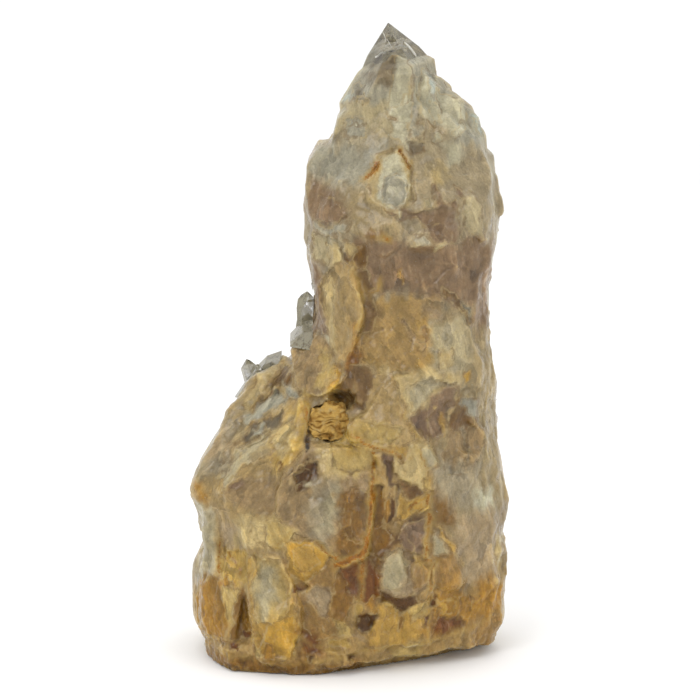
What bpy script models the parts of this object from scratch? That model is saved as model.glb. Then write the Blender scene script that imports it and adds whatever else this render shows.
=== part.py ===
"""Citrine cluster: one intergrown quartz solid on its broken foot, and the lump of limonite in its pocket.

The quartz is a lumpy core with everything that grew from it joined in: the main point and the crystals
parallel to it, the broken blocks and plates of the front, and the rows of points at the back. Hollows are
cut last, and the foot is cut flat. The frame is the rock's own: origin in the middle of the foot, +Z up, the
broken front facing -Y.
"""

import math
import random

import bmesh
import bpy
from mathutils import Matrix, Vector, noise

MM = 0.001

# Driving dimensions, in millimetres.
HEIGHT = 180.0
MAIN_TIP = (10.7, 2.0, HEIGHT)
# How far its six prism faces are from the axis that runs through the tip: right front, front, left front,
# left back, back, and right back.
MAIN_SIDES = (9.5, 12.5, 15.5, 15.5, 14.0, 10.0)
# How far its six point faces are set out from the tip, in the same order: the front one starts lower.
MAIN_SETS = (0.0, 1.2, 0.15, 0.0, 0.8, 0.25)
MAIN_LENGTH = 70.0
# The way that the head's crystals point: leaning a little to the left.
HEAD_AXIS = (-0.177, 0.02, 0.984)
# Every crystal narrows to this share of its width at its root, inside the rock.
ROOT_TAPER = 0.8
# Quartz's point faces stand at this angle to the crystal's axis.
POINT_ANGLE = math.radians(38.2)

# The core's level sections: height, left, right, front, back, and how far its right front recedes.
SECTIONS = (
    (-4.0, -38.0, 39.0, -32.5, 29.5, 11.0),
    (3.0, -42.0, 42.0, -33.0, 31.5, 11.0),
    (9.0, -45.0, 44.0, -33.0, 32.5, 10.5),
    (15.0, -45.0, 44.6, -32.0, 32.5, 10.0),
    (23.0, -45.0, 44.8, -32.0, 32.5, 8.0),
    (33.0, -42.0, 44.2, -32.0, 32.5, 6.0),
    (40.0, -43.6, 45.0, -32.0, 32.0, 5.0),
    (47.0, -46.4, 45.0, -31.5, 31.5, 4.0),
    (54.0, -43.6, 43.4, -31.0, 30.5, 3.0),
    (61.0, -39.0, 42.2, -30.0, 29.5, 2.0),
    (68.0, -34.0, 41.8, -29.0, 29.0, 1.0),
    (75.0, -27.5, 41.4, -28.0, 28.5, 0.0),
    (82.0, -19.5, 40.9, -27.0, 28.0, 0.0),
    (89.0, -12.2, 39.4, -26.0, 28.0, 0.0),
    (99.0, -9.5, 39.2, -25.0, 28.0, 0.0),
    (107.0, -11.0, 39.4, -25.0, 28.5, 0.0),
    (117.0, -12.2, 41.0, -25.0, 29.5, 0.0),
    (129.0, -13.0, 42.6, -24.0, 29.5, 0.0),
    (137.0, -10.8, 39.6, -20.5, 24.5, 0.0),
    (144.0, -4.0, 34.0, -15.0, 19.0, 0.0),
    (150.0, 2.0, 27.0, -10.0, 11.5, 0.0),
    (158.0, 4.0, 22.0, -8.0, 9.0, 0.0),
)
SIDES = 36
# Above 2, the exponent makes a section squarer than an ellipse.
SQUARENESS = 2.5
RECEDE_FROM = -14.0
# The core's surface is ribbed upwards, as broken parallel crystals are, and lumpy across the ribs.
RIB_WIDTH = 4.5
RIB_RUN = 30.0
RIB_HEIGHT = 1.5
LUMP_SIZE = 9.0
LUMP_HEIGHT = 0.8

# Blocks and plates of the front: name, how far it stands out of the core, its face's tilt across and up, the
# rise of its middle, and its outline as (x, z).
BLOCKS = (
    ("head_dome", 2.6, 0.0, -0.05, 2.4,
     ((-5.5, 146), (-3.5, 153.5), (0.5, 158), (6, 158.5), (10.5, 155), (12, 148), (8, 142), (-1, 141.5))),
    ("head_middle", 2.0, 0.0, 0.0, 1.8,
     ((12, 148), (12, 155), (17.5, 157), (22, 151), (23.5, 144), (17, 141.5))),
    ("head_left_lobe", 1.2, 0.10, -0.10, 1.5,
     ((-12, 140.5), (-9, 145), (-2, 146), (3.5, 140.5), (1.5, 127.5), (-5.5, 122.5), (-12, 128.5))),
    ("diamond_skirt", 1.8, 0.0, -0.05, 0.8,
     ((13.5, 146), (17, 139.5), (16.5, 133.5), (12, 129), (5.5, 133), (4, 138), (8.5, 143))),
    ("diamond_point", 3.2, 0.05, -0.10, 1.0,
     ((10.5, 138), (13, 140), (15.5, 138), (15.5, 133.5), (12, 130.5), (9.5, 134))),
    ("head_right_lobe", 1.4, -0.12, 0.05, 1.5,
     ((22.5, 148.5), (31, 149.5), (37, 145.5), (40, 139), (38, 131.5), (31, 129.5), (24, 131.5),
      (20.5, 140))),
    ("head_cream_lump", 2.0, -0.1, 0.0, 1.0,
     ((32, 133.5), (36, 133), (38.5, 125), (38.5, 120), (34.5, 122.5), (32, 129))),
    ("head_ledge", 2.6, 0.0, 0.15, 0.6,
     ((16, 122.5), (20.5, 125.5), (27, 123.5), (26.5, 120.5), (23, 121.5), (17.5, 120.5))),
    ("head_mid_band", 1.4, 0.0, 0.0, 1.0,
     ((-3.5, 125), (2, 130.5), (9, 129), (15, 127), (14.5, 122), (10, 117), (4, 119.5), (-1, 118))),
    ("head_low_left", 1.6, 0.15, 0.0, 1.0,
     ((-10.5, 121.5), (-5.5, 122), (-1, 122), (-1, 116), (-5.5, 112.5), (-10.5, 115))),
    ("head_low_right", 1.2, -0.1, 0.0, 1.4,
     ((27.5, 120), (34.5, 121.5), (40, 120), (39, 109), (34, 105), (29, 108.5))),
    ("tan_blade", 3.4, -0.10, 0.0, 1.6,
     ((-9.5, 107), (-5.5, 113.5), (-1, 115.5), (3.5, 106.5), (2.5, 97), (1, 91.5), (-2.5, 87), (-4, 88.5),
      (-5, 94), (-8, 100))),
    ("tan_lozenge", 3.0, 0.12, 0.05, 1.6,
     ((-17, 91), (-13.5, 94), (-8, 95), (-4.5, 88), (-2, 83), (-5.5, 80), (-10, 78), (-15, 80.5),
      (-16, 84.5))),
    ("brown_face", 0.6, 0.05, 0.05, 1.0,
     ((4, 106.5), (14, 108), (23, 105), (27, 96.5), (25, 87.5), (12.5, 85.5), (8.5, 82), (5, 75.5), (1, 78),
      (0, 85.5), (3.5, 94.5))),
    ("pale_face", 1.6, -0.05, 0.0, 1.2,
     ((23.5, 97), (29.5, 101.5), (33.5, 97.5), (37, 87), (36, 79.5), (30, 80.5), (23, 75), (17.5, 72.5),
      (13, 85), (25, 87.5))),
    ("cream_wedge", 3.2, 0.05, 0.10, 1.0,
     ((12, 85), (16, 73.5), (18.5, 68), (13.5, 62), (6.5, 64.5), (0.5, 67.5), (-1, 71.5), (4.5, 75))),
    ("yellow_plate", 2.8, -0.05, 0.05, 0.8,
     ((16, 72.5), (22.5, 63), (25, 58.5), (23.5, 54.5), (22.5, 51.5), (19, 54.5), (14, 56), (12, 60),
      (14, 66))),
    ("right_rim_band", 1.0, -0.2, 0.0, 0.8,
     ((33, 104), (39, 106.5), (39, 90.5), (40.5, 75), (38.5, 76), (36.5, 88))),
    ("shoulder_band", 1.4, 0.15, 0.05, 1.0,
     ((-25, 82.5), (-21, 84), (-18, 82), (-24.5, 75.5), (-32.5, 65.5), (-38.5, 57), (-43, 52), (-43.5, 54),
      (-35.5, 70), (-28.5, 79))),
    ("cream_ridge", 2.2, 0.10, 0.10, 0.8,
     ((-13.5, 70.5), (-15, 73), (-24.5, 66), (-31, 61), (-37, 51), (-34, 51.5), (-27.5, 58), (-18, 64))),
    ("ochre_band", 1.4, 0.10, 0.0, 0.8,
     ((-14.5, 77.5), (-12, 76), (-11.5, 66.5), (-14, 61), (-18.5, 55.5), (-20.5, 58), (-18.5, 64),
      (-16, 71))),
    ("shoulder_bulge", 1.6, 0.15, -0.10, 1.5,
     ((-44.5, 51), (-38.5, 56.5), (-31.5, 60), (-33, 51), (-36, 45.5), (-41.5, 43.5), (-43.5, 46))),
    ("mauve_lump", 1.4, 0.10, 0.0, 1.2,
     ((-31.5, 57.5), (-24.5, 60.5), (-19.5, 54.5), (-21.5, 47.5), (-26.5, 45), (-31, 47.5), (-34.5, 50))),
    ("boulder", 3.4, 0.0, 0.05, 2.2,
     ((-19, 54.5), (-16, 58), (-12, 64), (-4.5, 65.5), (6, 64), (6, 43.5), (4.5, 35.5), (-2, 32), (-5.5, 35),
      (-14, 38.5), (-19, 43), (-21, 46.5))),
    ("orange_plate", 2.0, 0.0, 0.0, 1.0,
     ((-19, 38.5), (-14.5, 38.5), (-8.5, 38), (-5.5, 34.5), (-8.5, 30.5), (-12, 27), (-17, 29))),
    ("fan_plate", 2.4, 0.05, 0.0, 0.8,
     ((-26.5, 44.5), (-20, 45), (-18, 41), (-19, 35.5), (-24.5, 34.5), (-26, 40))),
    ("small_plate", 2.2, 0.10, 0.0, 0.8, ((-30, 41.5), (-26, 41.5), (-25, 35), (-28, 34), (-31, 37.5))),
    ("tooth", 4.0, 0.0, -0.04, 2.0,
     ((-24, 34), (-19.5, 33.5), (-16.5, 27.5), (-14, 19.5), (-14.5, 12.5), (-17, 5.5), (-21.5, 3), (-26, 4.5),
      (-27.5, 20), (-28, 27))),
    ("left_block", 2.6, 0.12, -0.05, 1.4,
     ((-38.5, 30.5), (-35, 32), (-31.5, 28), (-29, 24), (-31.5, 17), (-34.5, 7), (-41, 7.5), (-43, 15.5),
      (-42, 22))),
    ("left_column", 1.4, 0.2, 0.0, 0.8,
     ((-41.5, 35), (-40.5, 42), (-37.5, 42.5), (-37.5, 31.5), (-39.5, 19.5), (-42.5, 18.5))),
    ("smoky_prism", 2.2, 0.0, 0.0, 2.0,
     ((-8.5, 30.5), (-2.5, 31), (0.5, 28), (2, 21), (0, 13.5), (-5.5, 11.5), (-10.5, 18), (-12.5, 24))),
    ("vein_strip", 0.8, 0.0, 0.0, 0.6, ((-2, 31), (4.5, 35), (6, 32), (6, 21), (3.5, 21.5), (1, 28))),
    ("diagonal_facet", 0.8, -0.1, 0.1, 0.6,
     ((21.5, 47.5), (22.5, 38), (21.5, 31.5), (15.5, 31), (11, 34), (7, 36), (9, 40), (14, 44))),
    ("bulb", 3.4, 0.0, 0.0, 2.2,
     ((10, 34.5), (13, 36), (15.5, 31), (19, 31.5), (23, 30), (24.5, 26.5), (23.5, 22), (19, 17.5),
      (14, 16.5), (9.5, 21), (7.5, 25), (8, 30.5))),
    ("mid_columns", 1.4, 0.0, 0.0, 1.0,
     ((6.5, 63), (12, 59.5), (13.5, 55), (13, 44), (9.5, 41), (6.5, 38), (6.5, 50))),
    ("smoky_facet", 0.6, 0.0, 0.1, 0.4, ((14, 55), (19, 54), (21.5, 50.5), (21, 48), (14.5, 47), (13.5, 51))),
    ("vein_knob", 1.8, 0.0, 0.0, 0.8, ((17, 49), (21.5, 50), (22, 46), (18, 45))),
    ("arch_facet", 2.2, -0.1, 0.1, 1.2,
     ((22.5, 36.5), (26, 39), (30, 34), (32, 23), (28, 22.5), (24.5, 25), (23, 30))),
    ("right_face", 1.4, -0.15, 0.0, 1.6,
     ((24.5, 57.5), (31.5, 58.5), (38, 60), (42, 53), (43, 42), (42, 22), (37, 19.5), (33, 23), (30, 34.5),
      (26, 39), (24, 44.5), (24, 50.5))),
    ("brown_foot", 1.8, -0.1, 0.0, 1.0, ((24.5, 23), (32, 22), (41.5, 18), (42, 10), (34, 8.5), (24.5, 7.5))),
    ("yellow_foot", 2.6, 0.0, 0.0, 1.0,
     ((9.5, 19.5), (14, 16), (22.5, 17.5), (22.5, 7), (10, 6.5), (6, 9.5))),
    ("cream_chip", 2.0, 0.0, 0.0, 0.6, ((-3, 20.5), (1.5, 17), (1, 10.5), (-3.5, 12.5))),
    ("left_foot", 3.0, 0.05, 0.0, 1.0,
     ((-34.5, 6), (-28.5, 7.5), (-14, 5), (-5.5, 8), (-1, 6), (2, -2), (-13.5, -4), (-33.5, -4))),
)
# A block goes this far back into the core, widens to this many times its outline there, and keeps this far
# inside the core's own sides.
BLOCK_DEPTH = 10.0
BLOCK_SPREAD = 1.22
BLOCK_MARGIN = 1.5
# Nothing is placed nearer to the core's left and right edges than this share of its half width.
EDGE_LIMIT = 0.97

# Hollows between the blocks, cut as wedges that narrow inwards: name, depth below the core, and outline as
# (x, z). A wedge's floor and its mouth are these shares of the outline, and the mouth is this far in front.
CLEFT_FLOOR = 0.72
CLEFT_MOUTH = 1.55
CLEFT_REACH = 9.0
CLEFTS = (
    ("brown_cleft", 4.5, ((-29.5, 25), (-28.2, 20), (-28.6, 8.5), (-34, 6.5), (-31.5, 17))),
    ("foot_cleft", 4.0, ((1.5, 17), (6, 18), (8, 13), (5, 9.5), (1.5, 11))),
    ("window_cleft", 2.0, ((17, 69.5), (23, 74), (29.5, 80.5), (30, 77.5), (27, 70), (25.5, 66), (23, 63.5))),
    ("dark_gable", 2.0, ((31.5, 77), (38, 65), (38, 60), (27.5, 60), (27, 67.5))),
    ("ledge_hollow", 1.4,
     ((15, 120), (21, 121), (27.5, 120), (28.5, 115), (25, 108), (21, 106), (19.5, 111), (16, 113))),
    ("grey_lens", 1.2,
     ((-19, 82.5), (-15.5, 80), (-14.5, 77.5), (-18, 73), (-24.5, 66.5), (-30.5, 61.5), (-28.5, 68),
      (-24, 75))),
    ("slit", 6.0, ((-12.6, 71), (-11.6, 71), (-11.2, 66), (-12.4, 65.5))),
)

# The pocket, the lump of limonite in it with the gap round it, and the dark gap over the lump.
POCKET_CENTRE = (-6.0, -26.5, 71.2)
POCKET_RADII = (5.9, 8.5, 5.4)
POCKET_ROUGHNESS = 0.25
POCKET_GAP = 0.35
GAP_CENTRE = (-1.6, -27.0, 77.6)
GAP_RADII = (3.6, 6.5, 2.9)
GAP_ROUGHNESS = 0.4
# The lump's front is worn back to this far from its middle, a little less wide, and dented.
LUMP_FRONT = 0.0
LUMP_FRONT_WIDTH = 0.93
LUMP_DENT = 0.9

# The crystals parallel to the main point: tip, radius, and length.
HEAD_CRYSTALS = (
    # Steps of the right outline, from the top down.
    ((24.2, 0.0, 165.8), 3.6, 20.0),
    ((29.8, 1.0, 160.4), 4.0, 18.0),
    ((32.6, -2.0, 157.0), 3.4, 16.0),
    ((35.0, 0.0, 152.6), 2.6, 10.0),
    ((36.8, 2.0, 146.2), 3.2, 10.0),
    ((39.0, 0.0, 139.8), 2.8, 8.0),
    ((40.8, -1.0, 133.6), 2.4, 8.0),
    # Steps of the left outline.
    ((-2.6, -1.0, 152.2), 3.8, 24.0),
    ((-4.8, 4.0, 148.0), 4.8, 24.0),
    ((-7.8, 0.0, 144.0), 4.4, 24.0),
    ((-9.8, 3.0, 138.6), 3.8, 20.0),
    # Ribs over the head's front, unlike in size and sunk in it.
    ((14.6, -6.6, 168.4), 3.4, 30.0),
    ((21.0, -4.8, 166.4), 4.4, 30.0),
    ((27.4, -3.2, 162.4), 5.2, 26.0),
    ((18.4, -8.0, 160.2), 4.0, 26.0),
    ((26.4, -6.8, 157.0), 6.2, 28.0),
    ((31.6, -5.6, 152.4), 4.4, 20.0),
    # The head's back.
    ((20.0, 10.0, 167.0), 7.0, 36.0),
    ((4.0, 12.0, 161.0), 8.0, 40.0),
    ((28.0, 12.0, 157.5), 6.8, 32.0),
    ((14.5, 17.5, 155.0), 8.0, 40.0),
    ((33.0, 14.0, 148.0), 6.4, 30.0),
    ((-4.0, 14.0, 149.0), 6.8, 36.0),
    ((24.5, 20.0, 145.0), 7.0, 34.0),
    ((6.0, 21.0, 144.0), 6.8, 34.0),
)
# Their faces are this share of the radius from the axis, give or take, and every other point face is set out
# from the tip by a share between these two.
FACE_MEAN = 0.87
FACE_SPREAD = 0.16
SET_LEAST = 0.04
SET_MOST = 0.2
# Clear crystals that stand out on the left: tip, radius, length, and lean as (x, y).
SIDE_CRYSTALS = (
    ((-12.2, 0.0, 104.0), 3.4, 22.0, (0.0, 0.0)),
    ((-12.6, 3.0, 97.6), 3.4, 20.0, (0.02, 0.0)),
    ((-9.0, -7.0, 98.5), 3.2, 18.0, (0.0, -0.05)),
    ((-29.6, 1.0, 84.2), 2.6, 14.0, (-0.22, 0.0)),
    ((-26.4, -1.0, 83.2), 2.2, 12.0, (0.05, 0.0)),
    ((-22.8, 0.5, 84.6), 2.6, 14.0, (0.10, 0.0)),
)

# The crystals round the sides and the back stand in rows: height, how many, and radius.
RING_ROWS = (
    (131.0, 8, 6.6),
    (117.0, 8, 7.4),
    (101.0, 8, 7.6),
    (85.0, 9, 8.0),
    (69.0, 10, 8.6),
    (53.0, 11, 8.6),
    (37.0, 12, 8.4),
    (20.0, 13, 7.6),
)
RING_FROM = math.radians(-32)
RING_TO = math.radians(212)
# How far a crystal's axis is inside the core's surface, and how long it is, in radii, at the sides and back.
RING_SUNK_SIDE = 0.84
RING_SUNK_BACK = 0.20
RIB_LENGTH = 2.4
RING_LENGTH = 4.4
# A crystal stands this far below or above its row, this much off its place along it, and this much aslant.
RING_DROP = -5.0
RING_RISE = 8.0
RING_SHIFT = 0.2
RING_LEAN = 0.15
RING_SWAY = 0.05
RING_SIZES = (0.75, 1.2)
SEED = 21

# The foot is cut flat, and its right front is broken away above a line across it.
CUT_SIZE = 160.0
CHIP_FROM = (12.0, -13.0, 0.0)
CHIP_LINE = (0.86, 0.51, 0.0)
CHIP_SLOPE = 0.28
# Corners nearer than this are one corner, and faces within this angle are one face.
WELD = 0.001
FLAT = math.radians(0.6)


def material(name, colour, roughness):
    made = bpy.data.materials.new(name)
    made.use_nodes = True
    shader = made.node_tree.nodes["Principled BSDF"]
    shader.inputs["Base Color"].default_value = (*colour, 1.0)
    shader.inputs["Roughness"].default_value = roughness
    shader.inputs["Metallic"].default_value = 0.0
    return made


def new_object(name, mesh_maker, collection):
    """An object of that name from a bmesh in millimetres, which it frees."""
    bmesh.ops.recalc_face_normals(mesh_maker, faces=mesh_maker.faces)
    bmesh.ops.scale(mesh_maker, vec=(MM, MM, MM), verts=mesh_maker.verts)
    mesh = bpy.data.meshes.new(name)
    mesh_maker.to_mesh(mesh)
    mesh_maker.free()
    made = bpy.data.objects.new(name, mesh)
    collection.objects.link(made)
    return made


def as_helper(made):
    made.hide_render = True
    made.display_type = "WIRE"
    return made


def section_at(height):
    """The core's left, right, front, back and recess at a height, between the two nearest sections."""
    below = [row for row in SECTIONS if row[0] <= height][-1:] or [SECTIONS[0]]
    above = [row for row in SECTIONS if row[0] > height][:1] or [SECTIONS[-1]]
    low, high = below[0], above[0]
    share = 0.0 if high[0] == low[0] else (height - low[0]) / (high[0] - low[0])
    share = min(max(share, 0.0), 1.0)
    return [a + (b - a) * share for a, b in zip(low[1:], high[1:])]


def recess(x, right, amount):
    return amount * max(0.0, (x - RECEDE_FROM) / (right - RECEDE_FROM))


def core_front(x, height):
    """Where the core's front surface is, in y, behind a point of the front view."""
    left, right, front, back, receding = section_at(height)
    across = min(abs((x - (left + right) / 2) / ((right - left) / 2)), EDGE_LIMIT)
    depth = (1 - across**SQUARENESS) ** (1 / SQUARENESS)
    return (front + back) / 2 - (back - front) / 2 * depth + recess(x, right, receding)


def core_ring(row):
    height, left, right, front, back, receding = row
    points = []
    for i in range(SIDES):
        angle = 2 * math.pi * i / SIDES
        c, s = math.cos(angle), math.sin(angle)
        x = (left + right) / 2 + (right - left) / 2 * math.copysign(abs(c) ** (2 / SQUARENESS), c)
        y = (front + back) / 2 + (back - front) / 2 * math.copysign(abs(s) ** (2 / SQUARENESS), s)
        if s < 0:
            y += recess(x, right, receding) * abs(s)
        push = LUMP_HEIGHT * noise.noise(Vector((x, y, height)) / LUMP_SIZE)
        push += RIB_HEIGHT * noise.noise(Vector((x / RIB_WIDTH, y / RIB_WIDTH, height / RIB_RUN)))
        points.append(Vector((x + push * c, y + push * s, height + push)))
    return points


def core(collection):
    """The core, lofted through its sections."""
    maker = bmesh.new()
    rings = [[maker.verts.new(p) for p in core_ring(row)] for row in SECTIONS]
    for low, high in zip(rings, rings[1:]):
        for i in range(SIDES):
            j = (i + 1) % SIDES
            maker.faces.new((low[i], low[j], high[j], high[i]))
    maker.faces.new(rings[0])
    maker.faces.new(rings[-1])
    return new_object("quartz_cluster", maker, collection)


def fitted_plane(points, x_tilt, z_tilt):
    """The plane y = level + a x + b z that lies nearest to the points, tilted further, as a function."""
    n = len(points)
    mx = sum(p[0] for p in points) / n
    mz = sum(p[2] for p in points) / n
    my = sum(p[1] for p in points) / n
    xx = sum((p[0] - mx) ** 2 for p in points)
    zz = sum((p[2] - mz) ** 2 for p in points)
    xz = sum((p[0] - mx) * (p[2] - mz) for p in points)
    xy = sum((p[0] - mx) * (p[1] - my) for p in points)
    zy = sum((p[2] - mz) * (p[1] - my) for p in points)
    spread = xx * zz - xz * xz
    a = (xy * zz - zy * xz) / spread + x_tilt
    b = (zy * xx - xy * xz) / spread + z_tilt
    return lambda x, z: my + a * (x - mx) + b * (z - mz)


def prism_between(name, collection, front, back, apex, root):
    """A solid with one outline in front and another behind, its two ends raised to a point in the middle."""
    maker = bmesh.new()
    near = [maker.verts.new(p) for p in front]
    far = [maker.verts.new(p) for p in back]
    top = maker.verts.new(apex)
    bottom = maker.verts.new(root)
    for i in range(len(near)):
        j = (i + 1) % len(near)
        maker.faces.new((near[i], near[j], far[j], far[i]))
        maker.faces.new((near[i], top, near[j]))
        maker.faces.new((far[i], far[j], bottom))
    return as_helper(new_object(name, maker, collection))


def block(name, stand_out, x_tilt, z_tilt, rise, outline, collection):
    """A block of the front: its face lies along the core's surface, and its sides widen inwards."""
    on_core = [(x, core_front(x, z), z) for x, z in outline]
    plane = fitted_plane(on_core, x_tilt, z_tilt)
    mx = sum(x for x, _ in outline) / len(outline)
    mz = sum(z for _, z in outline) / len(outline)
    front = [(x, plane(x, z) - stand_out, z) for x, z in outline]
    back = []
    for x, y, z in front:
        far_z = mz + (z - mz) * BLOCK_SPREAD
        left, right = section_at(far_z)[:2]
        far_x = max(mx + (x - mx) * BLOCK_SPREAD, min(left + BLOCK_MARGIN, x))
        back.append((min(far_x, max(right - BLOCK_MARGIN, x)), y + BLOCK_DEPTH, far_z))
    middle = plane(mx, mz) - stand_out
    root = (mx, middle + BLOCK_DEPTH + rise, mz)
    return prism_between(name, collection, front, back, (mx, middle - rise, mz), root)


def cleft(name, depth, outline, collection):
    """A wedge that cuts a hollow: wide outside the rock, and narrowing to its floor."""
    mx = sum(x for x, _ in outline) / len(outline)
    mz = sum(z for _, z in outline) / len(outline)
    floor = []
    mouth = []
    for x, z in outline:
        from_x, from_z, level = x - mx, z - mz, core_front(x, z)
        floor.append((mx + from_x * CLEFT_FLOOR, level + depth, mz + from_z * CLEFT_FLOOR))
        wide = CLEFT_FLOOR * CLEFT_MOUTH
        mouth.append((mx + from_x * wide, level - CLEFT_REACH, mz + from_z * wide))
    middle = core_front(mx, mz)
    deepest = (mx, middle + depth + 1.0, mz)
    return prism_between(name, collection, floor, mouth, deepest, (mx, middle - CLEFT_REACH - 1.0, mz))


def cut_away(maker, point, normal):
    """Removes what is outside the plane, and closes the cut with a flat face."""
    geometry = maker.verts[:] + maker.edges[:] + maker.faces[:]
    cut = bmesh.ops.bisect_plane(maker, geom=geometry, plane_co=point, plane_no=normal, clear_outer=True)
    rim = [edge for edge in cut["geom_cut"] if isinstance(edge, bmesh.types.BMEdge)]
    if rim:
        bmesh.ops.contextual_create(maker, geom=rim)


def crystal(name, tip, sides, sets, length, axis, turn, collection):
    """A quartz crystal: a block cut by six prism faces, each at its own distance from the axis, and by the
    six faces of the point, each set out from the tip by its own amount."""
    size = 2 * max(length, 2 * max(sides))
    maker = bmesh.new()
    bmesh.ops.create_cube(maker, size=size, matrix=Matrix.Translation((0, 0, size / 2 - length)))
    for i, (side, set_out) in enumerate(zip(sides, sets)):
        angle = math.radians(30 + 60 * i)
        outward = Vector((math.cos(angle), -math.sin(angle), 0.0))
        cut_away(maker, outward * side, outward)
        slanted = outward * math.cos(POINT_ANGLE) + Vector((0, 0, math.sin(POINT_ANGLE)))
        cut_away(maker, slanted * set_out, slanted)
    for v in maker.verts:
        if v.co.z < -length * 0.9:
            v.co.x *= ROOT_TAPER
            v.co.y *= ROOT_TAPER
    upright = Matrix.Identity(4)
    upright.col[2] = (*Vector(axis).normalized(), 0.0)
    upright.col[0] = (*Vector((1, 0, 0)).cross(Vector(axis)).cross(Vector(axis)).normalized() * -1.0, 0.0)
    upright.col[1] = (*upright.col[2].xyz.cross(upright.col[0].xyz), 0.0)
    place = Matrix.Translation(tip) @ upright @ Matrix.Rotation(turn, 4, "Z")
    bmesh.ops.transform(maker, matrix=place, verts=maker.verts)
    return as_helper(new_object(name, maker, collection))


def uneven_crystal(name, tip, radius, length, axis, turn, draw, collection):
    """A crystal whose faces are at unlike distances, as on most that grow in a crowd."""
    sides = [radius * (FACE_MEAN + FACE_SPREAD * draw.uniform(-1.0, 1.0)) for _ in range(6)]
    sets = [radius * draw.uniform(SET_LEAST, SET_MOST) * (i % 2) for i in range(6)]
    crystal(name, tip, sides, sets, length, axis, turn, collection)


def lump(name, centre, radii, roughness, shrink, collection, front_limit=None):
    """A rough ball from an icosphere, each vertex moved in or out along its radius."""
    maker = bmesh.new()
    bmesh.ops.create_icosphere(maker, subdivisions=3, radius=1.0)
    for v in maker.verts:
        push = 1.0 + roughness * noise.noise(v.co * 2.3 + Vector(centre))
        x, y, z = (c * (r * push - shrink) for c, r in zip(v.co, radii))
        if front_limit is not None and y < front_limit + 1.0:
            x, z = x * LUMP_FRONT_WIDTH, z * LUMP_FRONT_WIDTH
            y = max(y, front_limit + LUMP_DENT * noise.noise(Vector((x, 0.0, z)) * 0.55))
        v.co = Vector(centre) + Vector((x, y, z))
    return new_object(name, maker, collection)


def head_crystals(collection):
    crystal("main_point", MAIN_TIP, MAIN_SIDES, MAIN_SETS, MAIN_LENGTH, HEAD_AXIS, 0.0, collection)
    draw = random.Random(SEED)
    for i, (tip, radius, length) in enumerate(HEAD_CRYSTALS):
        turn = draw.uniform(-0.12, 0.12)
        uneven_crystal(f"head_crystal_{i}", tip, radius, length, HEAD_AXIS, turn, draw, collection)


def side_crystals(collection):
    draw = random.Random(SEED + 1)
    for i, (tip, radius, length, lean) in enumerate(SIDE_CRYSTALS):
        turn = draw.uniform(-0.4, 0.4)
        uneven_crystal(f"side_crystal_{i}", tip, radius, length, (*lean, 1.0), turn, draw, collection)


def ring_crystals(collection):
    """Rows of crystals round the sides and the back: ribs at the sides, and whole crystals at the back."""
    draw = random.Random(SEED + 2)
    for row, (height, count, radius) in enumerate(RING_ROWS):
        for i in range(count):
            rise = draw.uniform(RING_DROP, RING_RISE)
            left, right, front, back, receding = section_at(height + rise)
            root_left, root_right = section_at(height + rise - RIB_LENGTH * radius)[:2]
            left, right = max(left, root_left), min(right, root_right)
            share = (i + 0.3 + 0.4 * (row % 2) + draw.uniform(-RING_SHIFT, RING_SHIFT)) / count
            angle = RING_FROM + (RING_TO - RING_FROM) * share
            c, s = math.cos(angle), math.sin(angle)
            size = radius * draw.uniform(*RING_SIZES)
            rear = min(max((s - 0.25) / 0.5, 0.0), 1.0)
            sunk = RING_SUNK_SIDE + (RING_SUNK_BACK - RING_SUNK_SIDE) * rear
            half_x, half_y = (right - left) / 2, (back - front) / 2
            x = (left + right) / 2 + half_x * math.copysign(abs(c) ** (2 / SQUARENESS), c)
            y = (front + back) / 2 + half_y * math.copysign(abs(s) ** (2 / SQUARENESS), s)
            if s < 0:
                y += recess(x, right, receding) * abs(s)
            outward = Vector((c / half_x, s / half_y, 0.0)).normalized()
            tip = Vector((x, y, height + rise)) - outward * sunk * size
            sway = Vector((draw.uniform(-RING_SWAY, RING_SWAY), draw.uniform(-RING_SWAY, RING_SWAY), 1.0))
            lean = outward * RING_LEAN * rear + sway
            length = size * (RIB_LENGTH + (RING_LENGTH - RIB_LENGTH) * rear)
            turn = draw.uniform(0, 1.0)
            uneven_crystal(f"ring_crystal_{row}_{i}", tip, size, length, lean, turn, draw, collection)


def foot_cutter(collection):
    """A box whose top is the plane that the rock rests on."""
    maker = bmesh.new()
    bmesh.ops.create_cube(maker, size=CUT_SIZE, matrix=Matrix.Translation((0, 0, -CUT_SIZE / 2)))
    return as_helper(new_object("foot_cutter", maker, collection))


def chip_cutter(collection):
    """The same box, tilted up towards the right front, where the foot is broken away."""
    maker = bmesh.new()
    bmesh.ops.create_cube(maker, size=CUT_SIZE, matrix=Matrix.Translation((0, 0, -CUT_SIZE / 2)))
    tilt = Matrix.Rotation(-CHIP_SLOPE, 4, Vector(CHIP_LINE))
    bmesh.ops.transform(maker, matrix=Matrix.Translation(CHIP_FROM) @ tilt, verts=maker.verts)
    return as_helper(new_object("chip_cutter", maker, collection))


def boolean(target, operation, operands):
    modifier = target.modifiers.new(operands.name, "BOOLEAN")
    modifier.operation = operation
    modifier.operand_type = "COLLECTION"
    modifier.collection = operands
    modifier.solver = "EXACT"


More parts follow.
